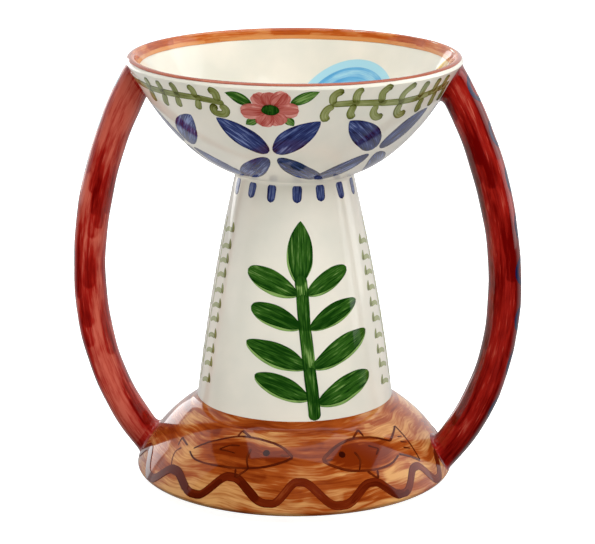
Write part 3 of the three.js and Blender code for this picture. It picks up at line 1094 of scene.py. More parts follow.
class FOOTEDBOWL_OT_handles(Operator):
    """Rolls the two arched handles and smooths their four joints into the bowl and the foot"""

    bl_idname = "footed_bowl.handles"
    bl_label = "Handles"

    def execute(self, context):
        for name, side, coats in (("right", 1, 0.6), ("left", -1, -0.8)):
            handle = HandleWall(side)
            length = handle.run[-1]
            tops = meeting_runs(handle, bowl_outside(), 70.0, 0.0)
            feet = meeting_runs(handle, foot_outside(), length - 60.0, length)
            cover = overlapping_strokes(
                np.random.default_rng(21 + side), 46, HANDLE_RADIUS, length, (38, 75), (3.6, 6.4), 0.05,
                first=coats,
            )
            self.bar(name, handle, tops, feet, cover)
            self.joint(name, "upper", handle, bowl_outside(), tops, 1, cover)
            self.joint(name, "lower", handle, foot_outside(), feet, -1, cover)
        return {"FINISHED"}

    def bar(self, name, handle, tops, feet, cover):
        clay = Clay()
        share = np.linspace(0, 1, 430)[:, None]
        run = (tops - BAR_SINK) + share * (feet - tops + 2 * BAR_SINK)
        angle = BAR_ANGLES[None, :] + 0 * run
        points = handle.place(angle, run)
        clay.add_points(points, handle.notes(angle, run), 0.0, cover(angle, run).ravel())
        rows = len(share)
        clay.add_grid(0, rows, BAR_FACETS, wrap_columns=True, flip=handle.side > 0)
        for row, turned in ((0, False), (rows - 1, True)):
            middle = clay.add_points([points[row].mean(axis=0)])
            fan = []
            for j in range(BAR_FACETS):
                face = (middle, row * BAR_FACETS + j, row * BAR_FACETS + (j + 1) % BAR_FACETS)
                fan.append(face if (handle.side > 0) == turned else face[::-1])
            clay.add_faces(fan)
        clay.piece(f"{name}_handle_bar", [red_glaze()], "red_glazed_clay", [f"{name}_handle"], sharp=60)

    def joint(self, name, end, handle, wall, meets, away, cover):
        """A smoothed coil where the bar meets a wall; away is the way along the bar that leaves it."""
        corner = handle.place(BAR_ANGLES, meets)
        angle, run = wall.find(corner)
        around = wall.radius(run)
        spread = np.stack([(angle - angle.mean()) * around, run - run.mean()], -1)
        spread /= np.linalg.norm(spread, axis=1)[:, None]
        reach = 4.2 + 0.5 * np.sin(3 * BAR_ANGLES + handle.side) + 0.3 * np.sin(5 * BAR_ANGLES + away)
        run_out = np.clip(run + spread[:, 1] * reach, 0.2, wall.run[-1] - 12)
        angle_out = angle + spread[:, 0] * reach / around
        climb = meets + away * (6.0 + 0.6 * np.sin(2 * BAR_ANGLES + 1))
        start, stop = handle.place(BAR_ANGLES, climb), wall.place(angle_out, run_out)
        rows = [handle.place(BAR_ANGLES, climb + away * 0.3, -0.2)]
        row_runs = [climb]
        for t in np.linspace(0.04, 0.96, 12):
            rows.append((1 - t) ** 2 * start + 2 * t * (1 - t) * corner + t**2 * stop)
            row_runs.append(climb + (meets - away * reach - climb) * t)
        rows.append(wall.place(angle_out + spread[:, 0] * 0.3 / around, run_out + spread[:, 1] * 0.3, -0.2))
        rows.append(wall.place(angle_out, run_out, -1.0))
        rows.append(handle.place(BAR_ANGLES, meets - away * 1.2, -1.2))
        rows.append(handle.place(BAR_ANGLES, climb, -1.2))
        row_runs += [meets - away * reach] * 2 + [meets, climb]
        points, runs_along = np.stack(rows), np.stack(row_runs)
        angles = BAR_ANGLES[None, :] + 0 * runs_along
        coats = cover(angles, runs_along) * 0.6 + 0.4
        clay = Clay()
        clay.add_points(points, handle.notes(angles, runs_along), 0.0, coats.ravel())
        down = faces_down(points[:12], points[[-2] * 12])
        clay.add_grid(0, len(rows), BAR_FACETS, wrap_rows=True, wrap_columns=True, flip=down)
        clay.piece(
            f"{name}_{end}_handle_joint", [red_glaze()], "red_glazed_clay",
            [f"{name}_{end}_handle_coil"], sharp=60,
        )


# ---------------------------------------------------------------- painted marks


def blue_paint():
    """Cobalt: deep blue, milky where the brush ran dry."""
    return underglaze_paint(
        "cobalt_underglaze", "blue_thin", "blue", "blue_deep", level=0.52, streak=1.7, patch=1.0,
    )


def night_paint():
    """Cobalt over the red glaze, where it fires almost black."""
    return underglaze_paint("cobalt_over_red_glaze", "blue", "blue_deep", "blue_deep", level=0.55)


def leaf_paint():
    """Chrome green: strong and dark, with clear bristle streaks."""
    return underglaze_paint(
        "leaf_green_underglaze", "leaf_thin", "leaf", "leaf_deep", level=0.46, streak=1.9, patch=0.9,
    )


def dry_leaf_paint():
    """Chrome green from a brush that has run dry: pale and yellowish."""
    return underglaze_paint("thin_green_underglaze", "leaf_thin", "leaf_thin", "leaf", level=0.35)


def olive_paint():
    """Green broken with brown: watery, and dark only where it pooled."""
    return underglaze_paint(
        "olive_underglaze", "olive_thin", "olive", "olive_deep", streak=1.3, coat=0.3, pool=0.4,
    )


def thin_olive_paint():
    """The same green thinned with water: a faint line."""
    return underglaze_paint(
        "thin_olive_underglaze", "olive_thin", "olive_thin", "olive", level=0.45, edge=0.1,
    )


def coral_paint():
    """Chrome-tin pink: chalky, redder where petals overlap."""
    return underglaze_paint("coral_underglaze", "pink_thin", "pink", "pink_deep", level=0.4, edge=0.1)


def orange_paint():
    """Iron orange of the rim: warm, with soft laps."""
    return underglaze_paint("orange_underglaze", "rim_thin", "rim", "rim_deep", edge=0.0, pool=0.4)


def thin_orange_paint():
    """The same orange thinned with water, on the band's lower edge."""
    return underglaze_paint(
        "thin_orange_underglaze", "rim_thin", "rim_thin", "rim", level=0.4, edge=0.0,
    )


def dark_orange_paint():
    """The same orange laid thick, on the lip's crest."""
    return underglaze_paint(
        "dark_orange_underglaze", "rim", "rim_deep", "rim_deep", level=0.5, edge=0.0,
    )


def line_paint():
    """Manganese brown for drawing: thin dark lines that sink into the wash."""
    return underglaze_paint(
        "brown_line_underglaze", "line_thin", "line", "line_deep", streak=0.6, glaze=WASH_GLAZE,
    )


def pooled_line_paint():
    """The same brown in a full drop: nearly black."""
    return underglaze_paint(
        "pooled_line_underglaze", "line_deep", "line_deep", "line_deep", glaze=WASH_GLAZE,
    )


def rust_paint():
    """Iron brown of the wave: a red-brown ribbon, darker where two lengths overlap."""
    return underglaze_paint(
        "rust_underglaze", "rust_thin", "rust", "rust_deep", level=0.5, coat=0.35, glaze=WASH_GLAZE,
    )


def sky_paint():
    """Clear sky blue, brushed in rings."""
    return underglaze_paint("sky_blue_underglaze", "sky_thin", "sky", "sky_deep", edge=0.0, pool=0.0)


def pale_sky_paint():
    """The same blue thinned with water, round the disc."""
    return underglaze_paint("pale_sky_underglaze", "sky_thin", "sky_thin", "sky", level=0.35, edge=0.0)


def yellow_paint():
    """Thin warm yellow that lets the clay show through."""
    return underglaze_paint("yellow_underglaze", "clay", "sun", "sun", edge=0.0)


def turned_by(points, turn):
    """Places moved round a wall by some degrees."""
    return [(angle + turn, run) for angle, run in points]


def stem_brush(clay, rng, turn=0):
    """A brush that paints on the stem along (degrees, height) points, moved round it by turn degrees."""
    wall = stem_outside()

    def stroke(points, half, profile, slot=0):
        places = [(angle + turn, wall.run_at(height)) for angle, height in points]
        brush_stroke(clay, wall, places, half, profile, rng, slot=slot)

    return stroke


class FOOTEDBOWL_OT_sprig(Operator):
    """Paints a leafy sprig up the front of the stem and another up its back"""

    bl_idname = "footed_bowl.sprig"
    bl_label = "Leafy Sprig"

    # Every leaf: the place of its tip and of its base, as degrees and height, and its width.
    leaves = [
        ((-27.2, 160.5), (11.5, 146.0), 15.5),
        ((-21.6, 136.3), (13.5, 124.0), 15.0),
        ((-23.1, 112.3), (16.5, 97.0), 16.0),
        ((-15.7, 90.2), (17.5, 75.6), 15.0),
        ((50.5, 161.1), (17.5, 145.6), 13.5),
        ((55.8, 138.4), (18.5, 122.8), 14.0),
        ((62.0, 116.4), (20.0, 96.4), 16.0),
        ((60.8, 86.7), (22.5, 72.0), 17.0),
    ]
    stalk = [(13.4, 159.0), (14.4, 146.0), (15.9, 123.0), (18.2, 97.0), (20.0, 74.0), (21.0, 60.5)]

    def execute(self, context):
        for name, turn, seed in (("front", 0, 31), ("back", 180, 32)):
            self.sprig(f"painted_{name}_sprig", turn, np.random.default_rng(seed))
        return {"FINISHED"}

    def sprig(self, name, turn, rng):
        clay = Clay()
        stroke = stem_brush(clay, rng, turn)
        for tip, base, width in self.leaves:
            middle = ((tip[0] + base[0]) / 2, (tip[1] + base[1]) / 2 + 1.2)
            slip = rng.uniform(0.1, 0.9)
            low = [(a, h - slip) for a, h in (tip, middle, base)]
            high = [(tip[0], tip[1] + 0.2), (middle[0], middle[1] + 0.5), base]
            stroke(low, width / 2, leaf(0.5, 0.55, 0.6), slot=1)
            stroke(high, width / 2 - 0.5, leaf(rng.uniform(0.44, 0.54), 0.52, 0.62))
        top = [(14.0, 194.8), (13.6, 175.0), (13.3, 153.0)]
        stroke([(a - 0.6, h - 0.6) for a, h in top], 9.0, leaf(0.55, 0.75, 0.6), slot=1)
        stroke(top, 8.6, leaf(0.52, 0.75, 0.6))
        for upper, lower in ((0, 2), (1, 4), (3, 5)):
            stroke(self.stalk[upper : lower + 1], 4.4, bar(0.95, 1.0))
        return clay.piece(name, [leaf_paint(), dry_leaf_paint()], "white_glazed_clay")


class FOOTEDBOWL_OT_side_vines(Operator):
    """Paints a thin vine down each side of the stem"""

    bl_idname = "footed_bowl.side_vines"
    bl_label = "Side Vines"

    # Every vine: where its stalk is, in degrees, which of its twigs comes first, the height of the top
    # pair of twigs, how far apart the pairs are and how many there are.
    vines = [(89.0, -1, 175.5, 10.9, 10), (-68.0, 1, 184.0, 10.5, 11)]

    def execute(self, context):
        clay, rng = Clay(), np.random.default_rng(41)
        stroke = stem_brush(clay, rng)
        for stalk, way, first, step, count in self.vines:
            line = [(stalk, 190.0), (stalk + 1, 135.0), (stalk - way * 2, 76.0)]
            stroke(line, 0.9, bar(), slot=1)
            for i in range(count):
                height = first - step * i + rng.uniform(-0.8, 0.8)
                for sign in (way, -way):
                    tip = stalk + sign * (16.5 - 0.3 * i)
                    elbow = (stalk + sign * 8, height - 1.8)
                    twig = [(stalk + sign * 2, height - 4.5), elbow, (tip, height - 1.6)]
                    stroke(twig, 1.8, bar(0.8, 1.0), slot=1)
                    blob = [(tip - sign, height + 4.0), (tip + sign, height - 3.0)]
                    stroke(blob, 1.7, leaf(0.6, 0.5, 0.5))
        clay.piece("painted_stem_side_vines", [olive_paint(), thin_olive_paint()], "white_glazed_clay")
        return {"FINISHED"}


class FOOTEDBOWL_OT_neck_dashes(Operator):
    """Paints the ring of dashes at the top of the stem"""

    bl_idname = "footed_bowl.neck_dashes"
    bl_label = "Neck Dashes"

    def execute(self, context):
        wall, clay, rng = stem_outside(), Clay(), np.random.default_rng(51)
        count = 16
        for i in range(count):
            angle = 10.6 + 360 / count * i + rng.uniform(-1.4, 1.4)
            lean = rng.uniform(-1.5, 1.5)
            top, bottom = wall.run_at(218.6), wall.run_at(206.8 + rng.uniform(-0.7, 0.7))
            brush_stroke(clay, wall, [(angle, top), (angle + lean, bottom)], 3.4, bar(1.0, 0.85), rng)
        clay.piece("painted_neck_dashes", [blue_paint()], "white_glazed_clay")
        return {"FINISHED"}


class FOOTEDBOWL_OT_blue_flowers(Operator):
    """Paints seven four-petalled blue flowers round the bowl"""

    bl_idname = "footed_bowl.blue_flowers"
    bl_label = "Blue Flowers"

    def execute(self, context):
        wall, rng = bowl_outside(), np.random.default_rng(61)
        count = 7
        clay = Clay()
        for i in range(count):
            centre = -1.2 + 360 / count * i
            drop = 2.5 * (1 - math.cos(math.radians(centre)))
            for side in (-1, 1):
                lean = rng.uniform(-1, 1)
                upper = [(19.5 * side + lean, 28.5), (9.5 * side, 46), (2.0 * side, 60)]
                lower = [(25.5 * side + lean, 98), (13 * side, 82), (2.6 * side, 65)]
                for points, half, petal in (
                    (upper, 9.6, leaf(0.54, 0.62, 0.45)),
                    (lower, 8.4, leaf(0.48, 0.42, 0.5)),
                ):
                    places = [(centre + angle, run + drop) for angle, run in points]
                    brush_stroke(clay, wall, places, half, petal, rng)
        clay.piece("painted_blue_flowers", [blue_paint()], "white_glazed_clay")
        return {"FINISHED"}


class FOOTEDBOWL_OT_coral_flowers(Operator):
    """Paints a coral flower with four green leaves on the front of the bowl and on its back"""

    bl_idname = "footed_bowl.coral_flowers"
    bl_label = "Coral Flowers"

    petals = [(-4.2, 5.5), (1.2, 3.6), (6.7, 4.2), (10.7, 18.8), (4.6, 30.6), (-2.8, 32.0), (-9.8, 20.8)]
    leaves = [
        ([(-14.2, 5.8), (-10.5, 8.6), (-5.6, 14.8)], 4.6),
        ([(17.3, 3.2), (13.5, 7.0), (8.0, 13.8)], 4.3),
        ([(-9.2, 32.2), (-4.6, 27.2)], 3.3),
        ([(9.0, 32.2), (5.8, 24.8)], 3.3),
    ]

    def execute(self, context):
        for name, turn, seed in (("front", 0, 71), ("back", 180, 72)):
            self.flower(f"painted_{name}_coral_flower", turn, np.random.default_rng(seed))
        return {"FINISHED"}

    def flower(self, name, turn, rng):
        wall, clay, centre = bowl_outside(), Clay(), (0.9, 17.9)
        for points, half in self.leaves:
            brush_stroke(clay, wall, turned_by(points, turn), half, leaf(0.55, 0.8, 0.5), rng, slot=1)
        for tip in self.petals:
            inner = (centre[0] + 0.12 * (tip[0] - centre[0]), centre[1] + 0.12 * (tip[1] - centre[1]))
            brush_stroke(clay, wall, turned_by([tip, inner], turn), 6.2, leaf(0.42, 0.42, 0.6), rng)
            for way in (-1, 1):
                side = ((tip[0] + centre[0]) / 2 + way * 0.9, (tip[1] + centre[1]) / 2 + way * 0.8)
                brush_stroke(clay, wall, turned_by([tip, side, inner], turn), 2.6, leaf(0.4, 0.5, 0.7), rng)
        heart = turned_by([centre], turn)[0]
        long, high = 5.8, 4.1

        def oval(turn):
            return 1 / np.hypot(np.cos(turn) / long, np.sin(turn) / high)

        paint_patch(clay, wall, heart, oval, rng, slot=1)
        return clay.piece(name, [coral_paint(), leaf_paint()], "white_glazed_clay")


class FOOTEDBOWL_OT_bowl_vines(Operator):
    """Paints the olive vines that run round the bowl from the coral flowers to the handles"""

    bl_idname = "footed_bowl.bowl_vines"
    bl_label = "Bowl Vines"

    # Stalks, leaflets and the curl, as degrees and run.
    left_stalk = [
        (-16.6, 15.0), (-25.4, 12.6), (-34.9, 12.9), (-43.0, 13.0), (-52.0, 12.6), (-61, 12), (-70, 12),
        (-78, 12),
    ]
    left_leaflets = [
        [(-20.4, 4.6), (-18.0, 6.5), (-17.8, 14.0)],
        [(-28.4, 3.4), (-26.8, 6.5), (-26.6, 13.0)],
        [(-36.6, 3.6), (-35.4, 6.5), (-35.2, 12.8)],
        [(-43.9, 4.2), (-43.2, 7.5), (-43.0, 13.2)],
        [(-51.5, 4.4), (-51.1, 7.5), (-50.9, 12.6)],
        [(-27.4, 23.0), (-26.8, 19.5), (-25.8, 14.5)],
        [(-36.6, 23.6), (-36.3, 20.0), (-35.4, 14.6)],
        [(-45.0, 25.2), (-44.2, 20.5), (-42.4, 14.4)],
        [(-53.5, 24.5), (-52.8, 20.0), (-51.6, 14.2)],
    ]
    left_curl = [(-17.4, 16.5), (-15.6, 20.5), (-17.0, 24.6), (-20.4, 23.8), (-20.4, 19.8), (-18.6, 17.8)]
    right_stalk = [
        (22.9, 14.3), (30.3, 13.9), (40.7, 16.0), (49.1, 17.4), (57.7, 16.8), (63.9, 15.0), (70.0, 13.4),
        (77.0, 12.4),
    ]
    right_leaflets = [
        [(25.4, 4.6), (23.6, 4.4), (22.0, 8.0), (22.3, 14.5)],
        [(32.2, 4.4), (30.6, 4.6), (30.0, 8.5), (30.4, 14.0)],
        [(42.6, 5.4), (41.2, 4.0), (39.6, 8.0), (40.4, 16.0)],
        [(53.2, 3.6), (50.6, 7.0), (48.9, 11.5), (48.8, 17.4)],
        [(59.6, 3.6), (58.8, 9.0), (58.4, 16.8)],
        [(66.6, 3.6), (66.2, 9.0), (66.0, 14.8)],
        [(73.0, 3.4), (72.6, 8.0), (72.4, 13.4)],
        [(21.0, 28.6), (19.6, 23.5), (20.6, 18.0), (22.8, 15.6)],
        [(30.6, 27.4), (29.2, 23.0), (29.6, 18.0), (30.2, 15.0)],
        [(43.2, 27.0), (40.6, 28.2), (38.4, 24.0), (38.6, 17.2)],
        [(54.2, 26.8), (51.6, 29.2), (49.2, 25.5), (49.4, 18.4)],
        [(62.4, 29.4), (60.8, 25.0), (60.8, 17.6)],
        [(70.2, 27.6), (69.0, 22.5), (68.6, 15.2)],
        [(77.0, 26.0), (76.4, 20.0), (76.0, 13.6)],
    ]

    def execute(self, context):
        for name, turn, seed in (("front", 0, 81), ("back", 180, 82)):
            wall, clay, rng = bowl_outside(), Clay(), np.random.default_rng(seed)
            for stalk in (self.left_stalk, self.right_stalk):
                for first, last in zip(stalk, stalk[1:]):
                    step = (last[0] - first[0]) * 0.12
                    points = [(first[0] - step, first[1]), (last[0] + step, last[1])]
                    brush_stroke(clay, wall, turned_by(points, turn), 2.7, bar(0.9, 1.0), rng)
            for points in self.left_leaflets + self.right_leaflets:
                half = 2.8 + rng.uniform(-0.2, 0.3)
                brush_stroke(clay, wall, turned_by(points[::-1], turn), half, bar(0.9, 1.05), rng)
            brush_stroke(clay, wall, turned_by(self.left_curl, turn), 2.9, bar(1.0, 1.0), rng)
            clay.piece(f"painted_{name}_bowl_vines", [olive_paint()], "white_glazed_clay")
        return {"FINISHED"}


class FOOTEDBOWL_OT_inside_paint(Operator):
    """Paints the orange band on the lip and the marks inside the bowl"""

    bl_idname = "footed_bowl.inside_paint"
    bl_label = "Inside of the Bowl"

    # The band, the line on the lip and the pale line below. Each is the degrees where it starts, its
    # strokes' lengths in degrees, the share by which each begins early, the share of its length after
    # which the next one starts, run, waver, half width, spacing of its points and paint.
    bands = [
        (20.0, (62, 71, 58, 66, 74, 69), 0.14, 0.9, 4.8, 0.15, 3.9, 1.5, 0),
        (35.0, (128, 119, 124), 0.05, 1.0, 0.5, 0.0, 1.25, 1.2, 2),
        (50.0, (92, 85, 96, 88), 0.08, 1.0, 9.6, 0.1, 1.5, 1.5, 1),
    ]
    # The disc's rings: radius, half width and paint.
    rings = [(35.0, 4.2, 1), (28.5, 4.6, 0), (21.0, 4.8, 0), (13.5, 4.8, 0), (6.5, 4.2, 0)]

    def execute(self, context):
        self.band()
        self.disc()
        return {"FINISHED"}

    def band(self):
        wall, clay, rng = bowl_inside(), Clay(), np.random.default_rng(91)
        for start, lengths, overlap, pace, centre, waver, half, spacing, slot in self.bands:
            for length in lengths:
                points = []
                for share in np.linspace(-overlap, 1, 9):
                    run = centre + (rng.uniform(-waver, waver) if waver else 0)
                    points.append((start + length * share, run))
                brush_stroke(clay, wall, points, half, bar(), rng, spacing=spacing, slot=slot)
                start += length * pace
        paints = [orange_paint(), thin_orange_paint(), dark_orange_paint()]
        clay.piece("painted_rim_band", paints, "white_glazed_clay")

    def disc(self):
        wall, clay, rng = bowl_inside(), Clay(), np.random.default_rng(92)
        centre, turn = (160.0, 64.0), np.linspace(0, 2 * math.pi, 24, endpoint=False)
        for radius, half, slot in self.rings:
            around = wall.radius(centre[1] - radius * np.sin(turn))
            points = np.stack([
                centre[0] + np.degrees(radius * np.cos(turn) / around),
                centre[1] - radius * np.sin(turn),
            ], -1)
            brush_stroke(clay, wall, points, half, bar(), rng, closed=True, slot=slot, spacing=1.5)
        paint_patch(clay, wall, centre, lambda turn: 3.5 + 0 * turn, rng)
        clay.piece("painted_sky_disc", [sky_paint(), pale_sky_paint()], "white_glazed_clay")
        clay = Clay()
        brush_stroke(clay, wall, [(104.0, 7.5), (110.0, 22.0), (113.0, 38.0)], 6.5, leaf(0.5, 0.8, 0.8), rng)
        clay.piece("painted_yellow_leaf", [yellow_paint()], "white_glazed_clay")


class FOOTEDBOWL_OT_foot_paint(Operator):
    """Paints the wave and two pairs of fish round the foot"""

    bl_idname = "footed_bowl.foot_paint"
    bl_label = "Fish and Wave"

    # Every line of a fish: its points as degrees and run, half its width and how full it is at its end.
    left_fish = [
        ([(8.5, 24.4), (4.5, 27.8), (-2.5, 31.9), (-9.2, 34.0), (-16.5, 35.4), (-24.5, 36.1), (-31.5, 36.3),
          (-36.5, 35.4), (-40.8, 31.6)], 0.9, 0.7),
        ([(8.5, 24.4), (4.0, 17.2), (-2.8, 12.9), (-12.8, 10.8), (-20.8, 12.2), (-30.2, 18.4), (-35.5, 23.7),
          (-39.5, 29.2)], 1.0, 0.6),
        ([(-49.5, 31.9), (-50.8, 25.3)], 0.7, 0.9),
        ([(-50.8, 25.3), (-43.8, 28.7)], 0.8, 0.8),
        ([(-46.5, 31.9), (-48.6, 36.0), (-48.0, 41.4), (-45.5, 48.4)], 0.7, 0.7),
        ([(-20.0, 12.2), (-19.0, 6.2)], 0.7, 0.9),
        ([(-19.0, 6.2), (-12.8, 10.8)], 0.9, 0.8),
        ([(-15.0, 35.6), (-14.3, 42.0)], 0.7, 0.9),
        ([(-14.3, 42.0), (-9.6, 34.4)], 0.8, 0.7),
        ([(-10.8, 19.6), (-11.4, 27.3), (-9.8, 34.4)], 0.8, 0.7),
        ([(2.8, 22.7), (6.8, 23.6)], 0.8, 0.9),
        ([(-16.5, 18.6), (-21.5, 19.6), (-26.0, 24.1)], 0.6, 0.9),
        ([(-25.8, 24.4), (-21.5, 24.2), (-17.5, 24.8)], 0.6, 0.5),
    ]
    left_eye = (-3.5, 21.8)
    right_fish = [
        ([(21.0, 27.8), (23.5, 23.2), (29.2, 17.2), (37.0, 13.8), (46.2, 15.0), (52.2, 18.2), (57.6, 22.8)],
         1.2, 0.7),
        ([(21.0, 27.8), (25.2, 32.2), (31.3, 36.5), (37.8, 38.3), (44.0, 39.1), (51.2, 37.9), (57.2, 33.9)],
         1.0, 0.7),
        ([(57.0, 22.8), (67.6, 14.0)], 0.9, 0.8),
        ([(67.6, 14.0), (67.8, 28.5), (67.4, 43.6)], 0.7, 0.7),
        ([(67.4, 43.6), (63.0, 38.1), (57.5, 33.3)], 0.9, 0.7),
        ([(63.2, 21.8), (66.4, 22.8)], 0.7, 0.6),
        ([(62.8, 25.7), (66.6, 28.2)], 0.7, 0.6),
        ([(62.2, 30.3), (66.2, 33.2)], 0.7, 0.6),
        ([(38.2, 13.6), (43.8, 7.4)], 0.8, 0.9),
        ([(43.8, 7.4), (44.6, 13.6)], 0.9, 0.8),
        ([(38.8, 39.1), (42.5, 45.7)], 0.8, 0.9),
        ([(42.5, 45.7), (43.4, 39.7)], 0.9, 0.8),
        ([(36.2, 23.7), (37.4, 30.3), (35.6, 37.4)], 0.8, 0.7),
        ([(21.6, 27.8), (25.5, 27.3)], 0.8, 0.7),
        ([(44.0, 21.1), (48.8, 25.2)], 0.7, 0.8),
        ([(48.8, 25.2), (45.8, 29.2)], 0.8, 0.7),
    ]
    right_eye = (30.0, 24.4)
    # The wave's crests, then its troughs, as degrees and height.
    crests = [
        (-70.0, 24.5), (-43.2, 23.6), (-16.0, 28.4), (11.0, 28.2), (39.4, 23.9), (62.8, 25.2), (83.0, 24.6),
        (108.5, 25.5), (134.0, 26.6), (160.5, 25.2), (186.5, 27.0), (212.0, 25.4), (238.5, 26.2),
        (264.0, 25.0),
    ]
    troughs = [
        (-56.0, 12.6), (-29.5, 14.2), (0.0, 15.4), (25.6, 13.4), (51.2, 13.2), (73.2, 12.4), (95.5, 14.0),
        (121.5, 13.6), (147.0, 14.6), (173.5, 13.8), (199.0, 14.9), (225.5, 13.7), (251.0, 14.4),
        (277.0, 13.9),
    ]

    def execute(self, context):
        for name, turn, seed in (("front", 0, 101), ("back", 180, 102)):
            wall, clay, rng = foot_outside(), Clay(), np.random.default_rng(seed)
            for lines, eye in ((self.left_fish, self.left_eye), (self.right_fish, self.right_eye)):
                for points, half, end in lines:
                    brush_stroke(
                        clay, wall, turned_by(points, turn), half, bar(1.0, end), rng, across=ACROSS[::2]
                    )
                dot = turned_by([eye], turn)[0]
                paint_patch(clay, wall, dot, lambda turn: 2.4 + 0.2 * np.cos(turn), rng, rings=5, slot=1)
            clay.piece(f"painted_{name}_fish", [line_paint(), pooled_line_paint()], "brown_washed_clay")
        self.wave()
        return {"FINISHED"}

    def wave(self):
        """The wave is painted in lengths, each started a little before the last one ended."""
        wall, clay, rng = foot_outside(), Clay(), np.random.default_rng(103)
        count = len(self.crests)
        crests = self.crests + [(angle + 360, height) for angle, height in self.crests[:3]]
        troughs = self.troughs + [(angle + 360, height) for angle, height in self.troughs[:3]]
        line = []
        for (crest, high), (trough, low), (following, next_high) in zip(crests, troughs, crests[1:]):
            fall, rise = trough - crest, following - trough
            line.append((crest, wall.run_at(high)))
            line.append((crest + 0.26 * fall, wall.run_at(high - 0.12 * (high - low))))
            line.append((crest + 0.72 * fall, wall.run_at(low + 0.13 * (high - low))))
            line.append((trough, wall.run_at(low)))
            line.append((trough + 0.28 * rise, wall.run_at(low + 0.13 * (next_high - low))))
            line.append((trough + 0.74 * rise, wall.run_at(next_high - 0.12 * (next_high - low))))
        for start in range(0, count * 6, 13):
            brush_stroke(clay, wall, line[start : start + 15], 3.0, bar(0.9, 1.05), rng)
        for start in range(5, count * 6, 17):
            part = [(angle, run + 0.9) for angle, run in line[start : start + 7]]
            brush_stroke(clay, wall, part, 1.7, bar(0.7, 1.0), rng)
        clay.piece("painted_wave", [rust_paint()], "brown_washed_clay")


class FOOTEDBOWL_OT_handle_rings(Operator):
    """Paints a row of blue rings down the outer face of each handle"""

    bl_idname = "footed_bowl.handle_rings"
    bl_label = "Handle Rings"

    # Half the width of each ring from the top, and of the widest on either handle, in degrees round the
    # bar.
    half_widths = [34, 26, 17, 18, 38, 32, 26, 30]
    widest = {"right": 40, "left": 24}

    def execute(self, context):
        for name, side in (("right", 1), ("left", -1)):
            handle, clay, rng = HandleWall(side), Clay(), np.random.default_rng(111 + side)
            turn = np.linspace(0, 2 * math.pi, 16, endpoint=False)
            for i, wide in enumerate(self.half_widths):
                centre = 26 + 31.6 * i + rng.uniform(-0.6, 0.6)
                wide = min(wide, self.widest[name]) + rng.uniform(-1, 1)
                points = np.stack([wide * np.cos(turn), centre - 8.0 * np.sin(turn)], -1)
                brush_stroke(clay, handle, points, 1.7, bar(), rng, closed=True)
            clay.piece(f"painted_{name}_handle_rings", [night_paint()], "red_glazed_clay")
        return {"FINISHED"}


# ---------------------------------------------------------------- stage


